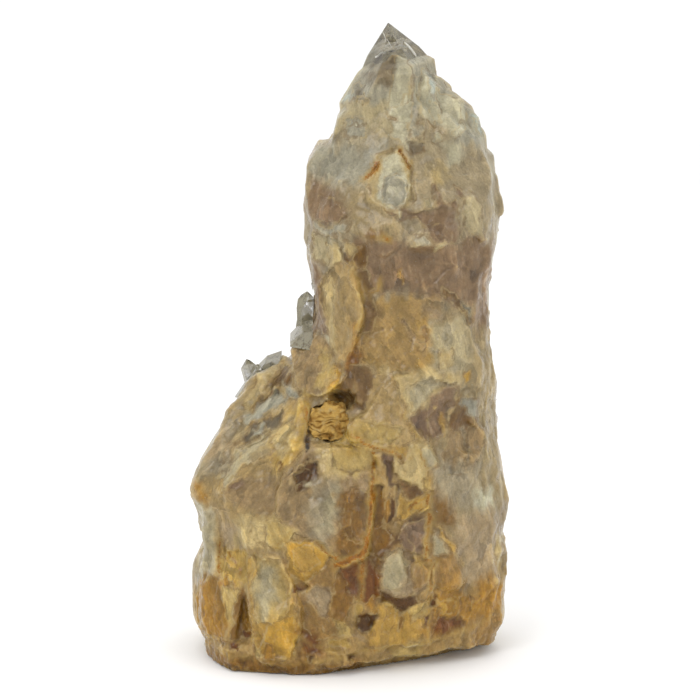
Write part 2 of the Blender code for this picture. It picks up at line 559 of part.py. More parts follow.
def joined(target):
    """Gives the object its modifiers' result as its own mesh, without loose slivers and folded faces."""
    graph = bpy.context.evaluated_depsgraph_get()
    mesh = bpy.data.meshes.new_from_object(target.evaluated_get(graph))
    maker = bmesh.new()
    maker.from_mesh(mesh)
    bmesh.ops.remove_doubles(maker, verts=maker.verts, dist=WELD * MM)
    bmesh.ops.dissolve_degenerate(maker, edges=maker.edges, dist=WELD * MM)
    unseen = set(maker.verts)
    bodies = []
    while unseen:
        fresh = [unseen.pop()]
        body = list(fresh)
        while fresh:
            v = fresh.pop()
            near = {edge.other_vert(v) for edge in v.link_edges} & unseen
            unseen -= near
            fresh.extend(near)
            body.extend(near)
        bodies.append(body)
    largest = max(bodies, key=len)
    loose = [v for body in bodies if body is not largest for v in body]
    bmesh.ops.delete(maker, geom=loose, context="VERTS")
    bmesh.ops.dissolve_limit(maker, angle_limit=FLAT, verts=maker.verts, edges=maker.edges)
    bmesh.ops.triangulate(maker, faces=maker.faces)
    seen = {}
    folded = []
    for face in maker.faces:
        corners = frozenset(face.verts)
        if corners in seen:
            folded += [face, seen[corners]]
        seen[corners] = face
    bmesh.ops.delete(maker, geom=folded, context="FACES")
    maker.to_mesh(mesh)
    maker.free()
    target.modifiers.clear()
    target.data = mesh


def collection_named(name):
    made = bpy.data.collections.new(name)
    bpy.context.scene.collection.children.link(made)
    return made


def main():
    for old in list(bpy.data.objects):
        bpy.data.objects.remove(old)
    cluster = collection_named("citrine_cluster")
    growths = collection_named("growths")
    hollows = collection_named("hollows")

    quartz = core(cluster)
    quartz.data.materials.append(material("milky_citrine", (0.42, 0.36, 0.27), 0.35))
    head_crystals(growths)
    side_crystals(growths)
    ring_crystals(growths)
    for name, stand_out, x_tilt, z_tilt, rise, outline in BLOCKS:
        block(name, stand_out, x_tilt, z_tilt, rise, outline, growths)

    for name, depth, outline in CLEFTS:
        cleft(name, depth, outline, hollows)
    as_helper(lump("pocket", POCKET_CENTRE, POCKET_RADII, POCKET_ROUGHNESS, 0.0, hollows))
    as_helper(lump("dark_gap", GAP_CENTRE, GAP_RADII, GAP_ROUGHNESS, 0.0, hollows))
    foot_cutter(hollows)
    chip_cutter(hollows)
    boolean(quartz, "UNION", growths)
    boolean(quartz, "DIFFERENCE", hollows)
    joined(quartz)

    limonite = lump(
        "limonite_lump", POCKET_CENTRE, POCKET_RADII, POCKET_ROUGHNESS, POCKET_GAP, cluster, LUMP_FRONT
    )
    limonite.data.materials.append(material("limonite", (0.45, 0.24, 0.06), 0.9))


main()
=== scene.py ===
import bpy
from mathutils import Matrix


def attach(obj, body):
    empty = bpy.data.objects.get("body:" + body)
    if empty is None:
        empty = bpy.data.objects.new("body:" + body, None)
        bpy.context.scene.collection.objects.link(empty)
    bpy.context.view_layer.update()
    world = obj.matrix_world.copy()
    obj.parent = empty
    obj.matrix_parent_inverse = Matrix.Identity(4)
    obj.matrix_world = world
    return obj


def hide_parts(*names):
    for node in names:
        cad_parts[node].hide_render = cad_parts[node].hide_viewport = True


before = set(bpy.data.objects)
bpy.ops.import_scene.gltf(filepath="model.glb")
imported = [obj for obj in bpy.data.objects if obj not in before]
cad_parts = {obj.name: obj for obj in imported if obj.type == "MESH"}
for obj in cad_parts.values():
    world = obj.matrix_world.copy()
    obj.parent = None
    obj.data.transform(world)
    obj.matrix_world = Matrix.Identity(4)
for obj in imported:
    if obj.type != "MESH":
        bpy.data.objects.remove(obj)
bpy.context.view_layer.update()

import math

import bmesh
import bpy
import numpy as np
from mathutils import Matrix, Vector

# The quartz cluster, one intergrown mass of milky, smoky and iron-stained citrine. Its form is the solid's, and its
# surface is worked finer here: the edges are chipped round, the broken faces are faceted and pitted, and the foot is
# crumbly. It grew in one piece, and was broken off its rock.
MM = 0.001
WELD = 2e-6
FRONT_GRAIN = 0.78
BACK_GRAIN = 1.55
TIP_GRAIN = 0.3


def refined(points, corners, longest):
    """Halves each edge that is longer than longest(its middle), and cuts its triangles in two, three or four, until
    no edge is too long."""
    while True:
        pairs = np.sort(np.stack([corners, np.roll(corners, -1, axis=1)], axis=2).reshape(-1, 2), axis=1)
        edges, which = np.unique(pairs, axis=0, return_inverse=True)
        ends = points[edges]
        middle = ends.mean(axis=1)
        long = np.linalg.norm(ends[:, 0] - ends[:, 1], axis=1) > longest(middle)
        if not long.any():
            return points, corners
        number = np.full(len(edges), -1)
        number[long] = len(points) + np.arange(long.sum())
        points = np.vstack([points, middle[long]])
        cut = number[which.reshape(-1, 3)]
        count = (cut >= 0).sum(axis=1)
        first = np.where(count == 1, np.argmax(cut >= 0, axis=1), (np.argmin(cut, axis=1) + 1) % 3)
        turn = (first[:, None] + np.arange(3)) % 3
        a, b, c = np.take_along_axis(corners, turn, axis=1).T
        ab, bc, ca = np.take_along_axis(cut, turn, axis=1).T
        one, two, three = count == 1, count == 2, count == 3
        corners = np.vstack([
            corners[count == 0],
            np.stack([a, ab, c], 1)[one], np.stack([ab, b, c], 1)[one],
            np.stack([ab, b, bc], 1)[two], np.stack([a, ab, bc], 1)[two], np.stack([a, bc, c], 1)[two],
            np.stack([a, ab, ca], 1)[three], np.stack([ab, b, bc], 1)[three], np.stack([ca, bc, c], 1)[three],
            np.stack([ab, bc, ca], 1)[three],
        ])


def normals_of(points, corners):
    """At each point, the mean direction of its triangles, weighted by their areas."""
    a, b, c = points[corners].transpose(1, 0, 2)
    area = np.cross(b - a, c - a)
    total = np.stack([np.bincount(corners.ravel(), np.repeat(area[:, k], 3), len(points)) for k in range(3)], axis=1)
    return total / np.maximum(np.linalg.norm(total, axis=1, keepdims=True), 1e-12)


def eased(values, corners, rounds, share=0.5):
    """Moves each point's values towards the mean of its neighbours' by a share, over and over."""
    near = np.vstack([corners[:, [0, 1]], corners[:, [1, 2]], corners[:, [2, 0]]])
    count = np.maximum(np.bincount(near[:, 0], minlength=len(values)), 1)
    values = values.reshape(len(count), -1)
    for _ in range(rounds):
        mean = np.stack([np.bincount(near[:, 0], column[near[:, 1]], len(count)) for column in values.T], axis=1)
        values = values + share * (mean / count[:, None] - values)
    return values


def scrambled(cells, seed):
    """A number from -1 to 1 for each whole-numbered cell, always the same for the same cell and seed."""
    n = (cells[..., 0] * 73856093) ^ (cells[..., 1] * 19349663) ^ (cells[..., 2] * 83492791) ^ (seed * 2654435761)
    n = ((n ^ (n >> 13)) * 1274126177) & 0xFFFFFFFF
    n = ((n ^ (n >> 16)) * 2246822519) & 0xFFFFFFFF
    return ((n ^ (n >> 15)) & 0xFFFFFF) / 0x7FFFFF - 1.0


def cloudy(points, size, seed):
    """Smooth noise from -1 to 1: random numbers on a lattice of that size, blended between its corners."""
    q = points / size + 31.7 * seed
    cell = np.floor(q).astype(np.int64)
    f = q - cell
    f = f * f * (3 - 2 * f)
    total = np.zeros(len(points))
    for corner in np.ndindex(2, 2, 2):
        share = np.where(corner, f, 1 - f).prod(axis=1)
        total += scrambled(cell + corner, seed) * share
    return total


def chipped(points, size, seed):
    """Flat chips: each point goes with the nearest of the seeds that are scattered one to a cell, and rises by that
    seed's own slope times its distance from it, in sizes."""
    q = points / size + 17.3 * seed
    cell = np.floor(q).astype(np.int64)
    nearest = np.full(len(points), np.inf)
    rise = np.zeros(len(points))
    for step in np.ndindex(3, 3, 3):
        here = cell + np.array(step) - 1
        seed_at = here + 0.5 + 0.42 * np.stack([scrambled(here, seed + k) for k in (1, 2, 3)], axis=1)
        away = q - seed_at
        far = (away**2).sum(axis=1)
        slope = np.stack([scrambled(here, seed + k) for k in (4, 5, 6)], axis=1)
        closer = far < nearest
        nearest[closer] = far[closer]
        rise[closer] = (away * slope).sum(axis=1)[closer] + 0.4 * scrambled(here, seed + 7)[closer]
    return rise


def step(values, low, high):
    """From 0 at low to 1 at high, eased at both ends."""
    t = np.clip((values - low) / (high - low), 0, 1)
    return t * t * (3 - 2 * t)


def off_segment(x, z, start, end):
    """How far points of the front view are from the straight line between two of its points, in mm."""
    (x0, z0), (x1, z1) = start, end
    t = np.clip(((x - x0) * (x1 - x0) + (z - z0) * (z1 - z0)) / ((x1 - x0) ** 2 + (z1 - z0) ** 2), 0, 1)
    return np.hypot(x - x0 - t * (x1 - x0), z - z0 - t * (z1 - z0))


def along(x, z, line):
    """How far points of the front view are from a line, given by its x, z, x, z, in mm."""
    path = np.reshape(line, (-1, 2))
    return np.min([off_segment(x, z, *ends) for ends in zip(path, path[1:])], axis=0)


def depth_in(x, z, outline):
    """How far inside an outline, given by its x, z, x, z, points of the front view are, in mm: below 0 outside it."""
    ring = np.reshape(outline, (-1, 2))
    inside = np.zeros(len(x), bool)
    for (x0, z0), (x1, z1) in zip(ring, np.roll(ring, -1, axis=0)):
        crosses = (z0 > z) != (z1 > z)
        inside ^= crosses & (x < x0 + (z - z0) * (x1 - x0) / np.where(z1 == z0, 1, z1 - z0))
    nearest = along(x, z, np.vstack([ring, ring[:1]]))
    return np.where(inside, nearest, -nearest)


CRACK_SIDES = 2
BEYOND = 50.0


def spread(grid, reach, widest):
    """The widest value, np.minimum or np.maximum, within a square of that reach round each cell of the grid."""
    beyond = np.inf if widest is np.minimum else -np.inf
    for axis in (0, 1):
        padded = np.pad(grid, [(reach, reach) if k == axis else (0, 0) for k in (0, 1)], constant_values=beyond)
        rows = [np.take(padded, range(k, k + grid.shape[axis]), axis=axis) for k in range(2 * reach + 1)]
        grid = widest.reduce(rows)
    return grid


def healed(points, cell, reach):
    """The y of the front at each point with its narrow cracks filled, and how deep the cracks beside the point are:
    the front-most y in each cell of a grid of x and z is spread forwards over the cells within reach, drawn back by
    as many, and read between the cells."""
    low = points[:, [0, 2]].min(axis=0) - 2 * cell
    spot = (points[:, [0, 2]] - low) / cell
    shape = np.ceil(spot.max(axis=0)).astype(int) + 3
    front = np.full(shape, np.inf)
    np.minimum.at(front, tuple(np.round(spot).astype(int).T), points[:, 1])
    front = np.where(np.isinf(front), spread(front, 1, np.minimum), front)
    filled = spread(front, reach, np.minimum)
    filled = spread(np.where(np.isinf(filled), -np.inf, filled), reach, np.maximum)
    known = np.isfinite(front) & np.isfinite(filled)
    depth = spread(np.where(known, front, 0.0) - np.where(known, filled, 0.0), CRACK_SIDES, np.maximum)
    filled = np.where(np.isinf(filled), BEYOND, filled)
    i, j = np.floor(spot).astype(int).T
    u, v = (spot - np.floor(spot)).T
    return [
        grid[i, j] * (1 - u) * (1 - v) + grid[i + 1, j] * u * (1 - v)
        + grid[i, j + 1] * (1 - u) * v + grid[i + 1, j + 1] * u * v
        for grid in (filled, depth)
    ]


def merged(node):
    """A node's points in mm and its triangles, with the loose triangles' corners joined."""
    maker = bmesh.new()
    maker.from_mesh(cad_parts[node].data)
    bmesh.ops.remove_doubles(maker, verts=maker.verts, dist=WELD)
    bmesh.ops.triangulate(maker, faces=maker.faces)
    points = np.array([v.co[:] for v in maker.verts]) / MM
    corners = np.array([[v.index for v in f.verts] for f in maker.faces])
    maker.free()
    return points, corners


def piece(name, points, corners, **attributes):
    """A mesh object of points in mm and triangles, with a number or a colour at each point for its material."""
    mesh = bpy.data.meshes.new(name)
    mesh.from_pydata((points * MM).tolist(), [], corners.tolist())
    mesh.polygons.foreach_set("use_smooth", np.ones(len(mesh.polygons), bool))
    for key, values in attributes.items():
        kind, field = {1: ("FLOAT", "value"), 3: ("FLOAT_VECTOR", "vector"), 4: ("FLOAT_COLOR", "color")}[
            values.shape[1] if values.ndim == 2 else 1
        ]
        mesh.attributes.new(key, kind, "POINT").data.foreach_set(field, values.astype(np.float32).ravel())
    made = bpy.data.objects.new(name, mesh)
    bpy.context.scene.collection.objects.link(made)
    return made


LAMP = 1.2
GLARE = 0.03


def colour(red, green, blue):
    """The share of light that a surface gives back, from how it looks on a screen, 0 to 255, under the lamps here and
    with their glare on it."""
    seen = np.array([((c / 255 + 0.055) / 1.055) ** 2.4 for c in (red, green, blue)])
    return np.maximum((seen - GLARE) / LAMP, 0.004)


FROST = colour(181, 174, 147)
CLEAR = colour(168, 173, 162)
CREAM = colour(180, 160, 115)
STRAW = colour(179, 155, 101)
PALE = colour(170, 157, 124)
HONEY = colour(177, 149, 88)
PALE_GREY = colour(156, 150, 130)
PINK_BEIGE = colour(165, 145, 112)
TAN = colour(165, 142, 99)
GOLD = colour(184, 148, 76)
BEIGE = colour(156, 142, 114)
AMBER = colour(176, 144, 82)
OLIVE = colour(156, 139, 105)
SAND = colour(161, 135, 90)
DUN = colour(152, 130, 95)
BROWN = colour(154, 125, 80)
OCHRE = colour(160, 124, 66)
MAUVE = colour(137, 115, 90)
BRONZE = colour(136, 106, 64)
PLUM = colour(127, 106, 84)
ASH = colour(120, 108, 87)
SMOKY = colour(125, 101, 70)
DARK_SMOKY = colour(107, 84, 55)
UMBER = colour(124, 90, 46)
INKY = colour(74, 55, 34)
RUST = colour(158, 108, 20)

# What is seen in the front, each over those before it: a tone, how soft its outline is in mm, and the outline's x, z,
# x, z and so on.
TONES = (
    (BEIGE, 10, (-14, 150, 44, 150, 46, 104, -14, 104)),
    (OLIVE, 8, (20, 104, 46, 104, 46, 20, 28, 20, 24, 60)),
    # the head, from its point down
    (PALE_GREY, 4, (10, 184, 0, 168, 2, 160, 14, 165, 26, 165)),
    (PALE_GREY, 4, (18, 172, 27, 170, 38, 156, 40, 147, 30, 147, 20, 153)),
    (PALE_GREY, 3, (2, 170, 11, 168, 11, 160, 6, 158, 1, 160)),
    (ASH, 1.5, (1.2, 165, 3.5, 164, 4, 160, 1.5, 160)),
    (CLEAR, 1, (1.2, 166.5, 1.2, 160, 0, 158.5, -3, 156.5, -3, 160)),
    (FROST, 2, (11.5, 171, 16.5, 171, 17.5, 146, 11, 150)),
    (FROST, 1.5, (15, 161, 16.5, 161, 17.5, 157, 15, 157)),
    (FROST, 2, (12, 158, 18, 159, 18, 154, 11, 153.5)),
    (PALE_GREY, 1.5, (17.6, 166, 19.4, 166, 20, 150, 17.8, 149)),
    (FROST, 2, (19.8, 168, 22, 167, 24.5, 160, 23.5, 153, 20, 156)),
    (CLEAR, 1.5, (21.5, 166, 24, 165, 24.5, 159, 22.5, 158)),
    (FROST, 1.5, (22, 161.5, 25, 158, 25.5, 154, 23.5, 154.5)),
    (FROST, 3, (24.3, 166, 28, 165.5, 31, 160, 32.5, 151, 26, 149, 24.5, 155)),
    (PALE_GREY, 1.5, (24, 165.5, 27, 164.5, 30, 160, 28, 160, 25.5, 161.5)),
    (BEIGE, 3, (19, 156, 25, 153, 29, 149, 24, 147, 20, 150)),
    (FROST, 1.5, (31, 159, 33, 158, 32.5, 153, 31, 153.5)),
    (CLEAR, 1, (33.5, 155, 36, 155, 37.5, 148, 35, 150)),
    # a painted glint on the small knob
    (CLEAR, 1, (34.3, 153.6, 35.5, 153, 35.4, 151.4, 34.3, 152)),
    (FROST, 1.5, (28, 150, 30.5, 153, 32, 151.5, 29.5, 149)),
    (FROST, 1.2, (23, 151, 25, 149.5, 25, 148, 23, 149.5)),
    (ASH, 2.5, (16.5, 149, 20.8, 149, 20.5, 145.5, 17, 145.5)),
    (ASH, 3, (-10, 149, -2.5, 151, -2, 147.5, -9, 145)),
    (PALE_GREY, 2, (-1.5, 154, 4, 154.5, 5, 149, -1, 148.5)),
    (ASH, 1.5, (2, 159.5, 5, 159.8, 5, 158.3, 2, 158.3)),
    (PINK_BEIGE, 1.5, (10.8, 155.5, 13, 155.5, 13, 153.6, 11, 153.6)),
    (ASH, 3, (3, 170, 5, 173, 11, 172.5, 13, 168, 11, 163.5, 4, 164)),
    # the shoulders of the head
    (PALE_GREY, 6, (-11, 146, 10, 148, 6, 138, -2, 136, -13, 138)),
    (OLIVE, 5, (-3, 136, 6, 134, 12, 128, 14, 122, 2, 121, -3, 127)),
    (MAUVE, 5, (-12, 137, -3, 136, 0, 130, -2, 125.5, -10, 124.5, -14, 130)),
    (MAUVE, 2.5, (-9, 133, -4, 133.5, -1.5, 129, -4, 126, -8, 126.5)),
    (PALE_GREY, 1.8, (-10, 126, -6, 124.8, -2, 126.8, 0.5, 126.5, -1, 124.5, -6, 122.8, -10.5, 124)),
    (CREAM, 2, (8, 144, 13.5, 147.3, 17.4, 140, 18, 133.5, 14.5, 129, 9.5, 130, 4.5, 132.5, 6, 138)),
    (FROST, 1.5, (9, 143, 13.3, 146.3, 16.2, 141, 16.5, 133, 13.3, 130, 9.5, 131, 6, 133, 7.5, 139)),
    (PALE_GREY, 1.3, (9.5, 139.6, 12.5, 140.6, 15.8, 138, 15.7, 132.8, 13.2, 131.2, 9, 132.3, 8.3, 136)),
    (MAUVE, 2, (10.5, 129.5, 16, 131, 17.5, 128.5, 13.5, 127)),
    (FROST, 1, (12.6, 130, 13.8, 129.5, 13.6, 127.4, 12.8, 127.8)),
    (CREAM, 3, (21, 141, 26, 141, 27, 138, 22, 137.5)),
    (MAUVE, 1.2, (23, 138, 24.2, 137.5, 25.4, 130, 24.4, 130)),
    (PALE, 1.5, (21, 134, 23, 134, 24, 127, 22, 127.5)),
    (MAUVE, 2.5, (17, 129, 29, 133, 31, 121, 22, 121)),
    (FROST, 3, (26, 147, 31, 147, 31, 142, 27, 142)),
    (PLUM, 1, (29.4, 136, 31.3, 134.4, 31, 132.5, 29.8, 133.5)),
    (PALE, 2, (31.5, 132.5, 34.5, 133.7, 35.7, 129.5, 36, 125.5, 39, 121.5, 36.5, 120, 32.3, 125, 31, 129)),
    (MAUVE, 6, (0, 122, 46, 121, 40, 103, 30, 104, 14, 107, 0, 110)),
    (MAUVE, 3, (0.5, 121, 14, 122, 14, 110, 7, 107, 4, 109, 0, 115)),
    (DARK_SMOKY, 2, (0, 120.5, 5, 121, 5, 114, 1, 114.5)),
    (MAUVE, 3, (16, 121, 22, 121, 22, 110, 17, 109)),
    (MAUVE, 4, (25, 119, 34, 121, 34, 108, 26, 106)),
    (BRONZE, 2.5, (5, 125, 7, 124, 8, 121.8, 6.5, 121, 4.5, 123)),
    (BRONZE, 1.5, (9.3, 123, 10.8, 122.8, 10.8, 121.5, 9.3, 121.6)),
    (BEIGE, 1.2, (15.8, 122.5, 17.5, 124, 19.8, 124.2, 20.5, 126, 22, 123.5, 22.6, 121.5, 19, 120.7, 16, 121.4)),
    (PALE_GREY, 1, (17, 123.4, 19.5, 123.6, 21.5, 122.5, 21, 121.5, 18, 121.6)),
    (PALE, 1, (23, 121.3, 26.2, 121.7, 25, 120, 23.2, 119.4)),
    (PLUM, 1.2, (22.3, 126, 24.5, 127, 27, 122.2, 24, 122)),
    (PALE, 2, (-10.5, 122, -5, 123, -2, 120.5, -2.5, 116, -5, 114.5, -10, 115.5)),
    (CREAM, 1.5, (-6, 120, -3.2, 120, -2.6, 115.5, -6, 114.5)),
    (CREAM, 1, (-1.6, 121.3, 0.7, 121, 1.3, 119, -0.4, 117.6, -1.4, 119)),
    (DARK_SMOKY, 1.2, (-2.6, 119, -1.4, 119, -0.6, 116, -1.8, 115.5)),
    (OCHRE, 1.2, (13.9, 113, 14.8, 113, 15.5, 110, 14.6, 109.8)),
    (SMOKY, 1.5, (1.5, 112.5, 4.5, 114, 7, 108.5, 6, 105.5, 3.2, 106.5)),
    (PLUM, 0.8, (4, 106.4, 7, 107.6, 7.2, 108.6, 4.2, 107.2)),
    (MAUVE, 3, (19, 116, 28, 116, 28, 106, 19, 106)),
    # the blade, the lozenge and the brown face
    (PLUM, 3, (-12, 114, -8, 114, -7, 104, -10, 92, -13, 96)),
    (TAN, 1.8, (-9, 107, -7, 112, -3, 116, 0.5, 114, 3.4, 107, 2.4, 98, 0.6, 91, -2, 87, -4, 90, -6.5, 97)),
    (CREAM, 1.5, (-7.5, 107, -5, 111.5, -3, 107, -4, 98, -4, 91, -5.5, 92, -7, 100)),
    (SAND, 1.5, (-0.5, 115.5, 1.6, 113, 3.8, 107, 3, 101, 2, 97, 1.4, 98, 2, 104, 1.5, 108, 0.2, 111.5)),
    (OCHRE, 2.5, (2.2, 101, 2.6, 95, 1, 88, -2, 85, -2.2, 88.5, 0, 93, 0.8, 99)),
    (AMBER, 3, (3, 104, 22, 106, 24, 90, 17, 83, 8, 84, 3, 90)),
    (SAND, 5, (3, 104, 20, 106, 22, 92, 18, 84, 9, 84, 3, 92)),
    (SMOKY, 2, (2.6, 106, 6.5, 106, 6.5, 97, 2.6, 96)),
    (DUN, 3, (18, 105, 25, 106, 28, 100, 22, 99)),
    (DUN, 1.2, (14, 100, 15.2, 100, 18.6, 95.5, 21, 93.5, 20, 92.5, 17, 95)),
    (BRONZE, 1.2, (19.6, 98.5, 21, 98.5, 22.2, 94, 20.8, 94)),
    (PALE, 4, (22, 99, 32, 100, 36, 90, 33, 84, 24, 86)),
    (CREAM, 2, (25.6, 91.5, 28.6, 92, 28.3, 87, 25.8, 87)),
    (SMOKY, 1.4, (26, 109, 30.4, 105.5, 34.6, 98, 33.6, 97, 29.6, 103, 25.5, 107)),
    (PALE_GREY, 1.2, (31, 105, 34, 100.5, 34, 98.5, 31, 102.5)),
    (MAUVE, 3, (33, 112, 42, 112, 42, 82, 38, 79, 35, 92, 35, 99)),
    (PLUM, 2, (-10.4, 99.5, -7.4, 99.5, -6.8, 95, -9.6, 95)),
    (FROST, 1.2, (-7, 94.5, -5.8, 94.5, -6, 92.2, -7.2, 92.2)),
    (DUN, 2.5, (-19, 91, -13.5, 94.5, -7, 93, -4, 88.5, -2.5, 83, -5, 80, -10, 78.5, -15, 80, -17, 85)),
    (STRAW, 2, (-9, 91, -5.2, 90, -4.3, 86, -7.5, 79.5, -9.8, 81, -8.4, 86)),
    (GOLD, 2, (-4.3, 88, -2.6, 85.5, -2.2, 82, -3.6, 79.2, -8, 78.3, -6.3, 81.5, -4.4, 83.5)),
    (UMBER, 2.5, (-2, 90, 1.5, 94, 3.2, 90, 1.2, 84, -0.5, 79, -2.4, 80.5)),
    (SMOKY, 2, (-0.3, 88, 4, 88, 8.2, 82.5, 5.6, 79.5, 4, 75.5, -0.6, 76, -2, 80)),
    (BROWN, 1.5, (-6, 79, -2.6, 80, -0.6, 78.5, 0.4, 75.2, -2, 74.5, -4, 76.6, -6.3, 77)),
    # the middle: pale faces round the wedge, and smoky ones on its right
    (CREAM, 4, (8, 86, 22, 87, 30, 84, 24, 76, 17, 72, 12, 76)),
    # a painted glint
    (FROST, 0.8, (22.6, 84, 23.4, 84.8, 23.4, 83.4, 22.7, 83)),
    (OLIVE, 5, (34, 95, 44, 95, 46, 52, 38, 52, 38, 70, 33, 78)),
    (GOLD, 1.2, (31.8, 85, 33.3, 85, 33, 82, 31.6, 80.5)),
    (TAN, 1.5, (6.5, 84, 12.5, 85, 15, 75, 20.3, 66.5, 20, 62, 16, 63, 12, 64.5, 5, 66, -0.5, 69.5, 0.5, 73, 4, 75)),
    (STRAW, 1.8, (0, 70, 2, 74, 6, 72, 12, 72, 15, 70, 12, 66, 6, 66.5)),
    (HONEY, 1.2, (14.5, 74.5, 15.5, 74.2, 20, 66, 19.3, 65.5)),
    (PALE, 2.5, (17, 74, 22, 77, 25, 81, 29, 82, 23, 85, 16, 80)),
    (PLUM, 1.5, (17.2, 72, 20, 75.2, 23, 74.4, 21, 71.5, 24, 65.5, 21.5, 66.5, 20, 69)),
    (MAUVE, 2, (22, 77.5, 26, 81.5, 29.5, 81, 30, 76.5, 27.2, 73, 26.5, 68, 23.5, 65, 21.4, 71)),
    (AMBER, 1, (25.2, 73.4, 26, 73, 27, 69, 26.5, 66.6, 26, 69.5)),
    (STRAW, 0.8, (23.3, 75.6, 24.7, 75.2, 24.2, 74.2, 23.3, 74.6)),
    (DUN, 2.5, (30.8, 77.8, 33.5, 73.5, 37.5, 67, 38, 62, 33.5, 56, 27, 56, 27.3, 66, 28, 74)),
    (SMOKY, 2, (30.8, 77.8, 32.5, 76.3, 35, 69, 31, 66, 27.5, 69, 28.6, 74.5)),
    (PALE_GREY, 1.5, (31, 75.8, 33, 77, 36, 76, 36, 71, 34, 71, 33, 74)),
    (BEIGE, 2, (30.5, 68, 31.3, 68, 33, 60, 32, 60)),
    (CREAM, 1.5, (12, 64.5, 16, 66, 20, 67, 23, 64.5, 25.2, 60, 21.8, 58.5, 22.8, 54, 20, 52.8, 14, 56, 11.3, 60.5)),
    (PALE, 1.3, (19.5, 65, 21.8, 65.4, 24.6, 60.5, 22, 59, 20, 62)),
    (AMBER, 1.8, (12, 66.5, 15.5, 65.5, 16.5, 62, 15, 61.5, 12.5, 64.3)),
    (BRONZE, 1, (12.3, 63, 14.6, 63, 16, 61.4, 13, 61.5)),
    (STRAW, 1.5, (20.5, 56.5, 22.5, 56, 22.2, 53, 20.8, 52.4)),
    # the left shoulder
    (TAN, 4, (-20, 90, -26, 84, -36, 70, -46, 55, -46, 46, -30, 44, -14, 60, -12, 78)),
    (OLIVE, 4, (-29, 79, -33, 74, -46, 58, -44, 50, -36, 56, -30, 66)),
    (CREAM, 1.5, (-28, 84, -22.5, 86.5, -19.5, 85.5, -24, 78, -28.5, 72, -30, 74, -26, 80)),
    (AMBER, 1.5, (-23.5, 87.3, -20, 87.5, -18.8, 85.5, -21.5, 85.8)),
    (DARK_SMOKY, 1.5, (-22.8, 78, -19.3, 84.8, -16.3, 83.6, -17.4, 80.4, -21, 76.5, -26, 72.4, -26.6, 74)),
    (PALE_GREY, 2, (-18.5, 80, -15, 79.5, -13.8, 77, -18, 76)),
    (PALE_GREY, 1.5, (-21, 78, -17, 76.5, -20, 73.5, -29, 68.5, -30, 70)),
    (ASH, 1.3, (-30, 65.5, -28, 68.3, -22, 70.8, -18.6, 73.4, -19.6, 70, -25, 66.6, -29, 63.3)),
    (PALE_GREY, 1.2, (-28, 66.5, -24, 69.3, -23, 68.2, -28, 65.2)),
    (PALE, 1.5, (-30, 62.5, -24, 67, -20.5, 69, -21.5, 66.5, -28, 60.5, -35.5, 53, -37, 53.5, -33, 59.5)),
    (OLIVE, 1.3, (-28, 61.2, -23, 65, -22, 63.6, -26.5, 60)),
    (DUN, 1.5, (-37, 59, -34, 63.5, -31, 64, -34.5, 57.5)),
    (HONEY, 4, (-23, 65, -17, 71, -13.5, 79, -11.4, 78, -12.5, 70, -15, 62, -19, 58, -21, 61)),
    (CREAM, 2, (-22.5, 66, -16, 72, -15.5, 68, -19, 62)),
    (OCHRE, 1.5, (-13.6, 75, -12.3, 75.5, -11.6, 70, -12.6, 69.5)),
    (UMBER, 1, (-20, 60.8, -19, 60.8, -19, 58.3, -19.8, 58.6)),
    (DUN, 3, (-35, 51.5, -29, 55, -20, 56, -19, 48, -24, 45.5, -31, 46.5)),
    (MAUVE, 1.5, (-34, 53.5, -31, 54.6, -29.8, 52.6, -33.5, 52.2)),
    (OCHRE, 3, (-43.5, 52, -40.5, 51.5, -39.5, 45.5, -43.5, 45)),
    (BEIGE, 4, (-46, 67, -34, 70, -34, 56, -46, 54)),
    # the boulder, and what is on its right
    (DUN, 2, (-19.5, 55, -15.5, 61, -12, 66, -3, 67.3, 6.3, 65, 6.3, 45, 4.5, 36, -2, 33, -6, 38, -15, 41, -21, 47)),
    (CREAM, 4, (-10, 66, 5, 66, 4, 58, -7, 57)),
    (DARK_SMOKY, 1.5, (-15.6, 57.8, -12.5, 61, -9, 61.8, -8.2, 58, -11, 54.7, -14.3, 53)),
    (DARK_SMOKY, 1, (-15.2, 57.6, -12.6, 60, -10.4, 59, -12.5, 56, -14.6, 54.8)),
    (PALE, 0.8, (-12.8, 56, -10.6, 56.2, -10.4, 55.2, -12.6, 55)),
    (BEIGE, 4, (-10, 57, -4, 57, -1.5, 52, -3, 46, -6, 38, -12, 40, -14, 46, -9, 52)),
    (PALE, 3, (-7, 52, -3.5, 54, -4, 42, -8, 42)),
    (SMOKY, 2.5, (-1, 52, 2, 55, 5.6, 53, 5, 42, 2.5, 38, -1, 40, -2, 46)),
    (DARK_SMOKY, 1.5, (-3.6, 47.3, 0.6, 47.6, 0.6, 44.2, -2.4, 43.6)),
    (DARK_SMOKY, 1, (-4, 42.6, -2.6, 42, -0.6, 38.2, -1.6, 37.6)),
    (DUN, 4, (-18, 50, -12, 50, -11, 42, -16, 41)),
    (SAND, 2, (6.6, 63, 10, 64, 11.5, 58, 10, 42, 7, 38, 6.4, 46)),
    (DARK_SMOKY, 1.8, (6.6, 54, 9.6, 54, 9.6, 42, 6.4, 41)),
    (PLUM, 1.3, (9, 64, 12, 63.6, 12.5, 55, 13.5, 53.5, 11.8, 53, 10, 57)),
    (DARK_SMOKY, 0.8, (11, 49.5, 12.4, 50.3, 13.2, 46, 12.2, 43.7, 10.8, 44.2)),
    (DUN, 0.7, (12.8, 54, 13.7, 53.6, 13.5, 44.5, 12.9, 44.5)),
    (OCHRE, 0.7, (10, 50.2, 11.2, 50, 10.7, 44, 10, 44)),
    (SMOKY, 1.3, (14, 55, 18.5, 54, 20.4, 51, 16, 49.8, 13.8, 51.5)),
    (AMBER, 1.3, (13.8, 50, 20, 50.5, 22, 47, 16, 44, 13.8, 45.5)),
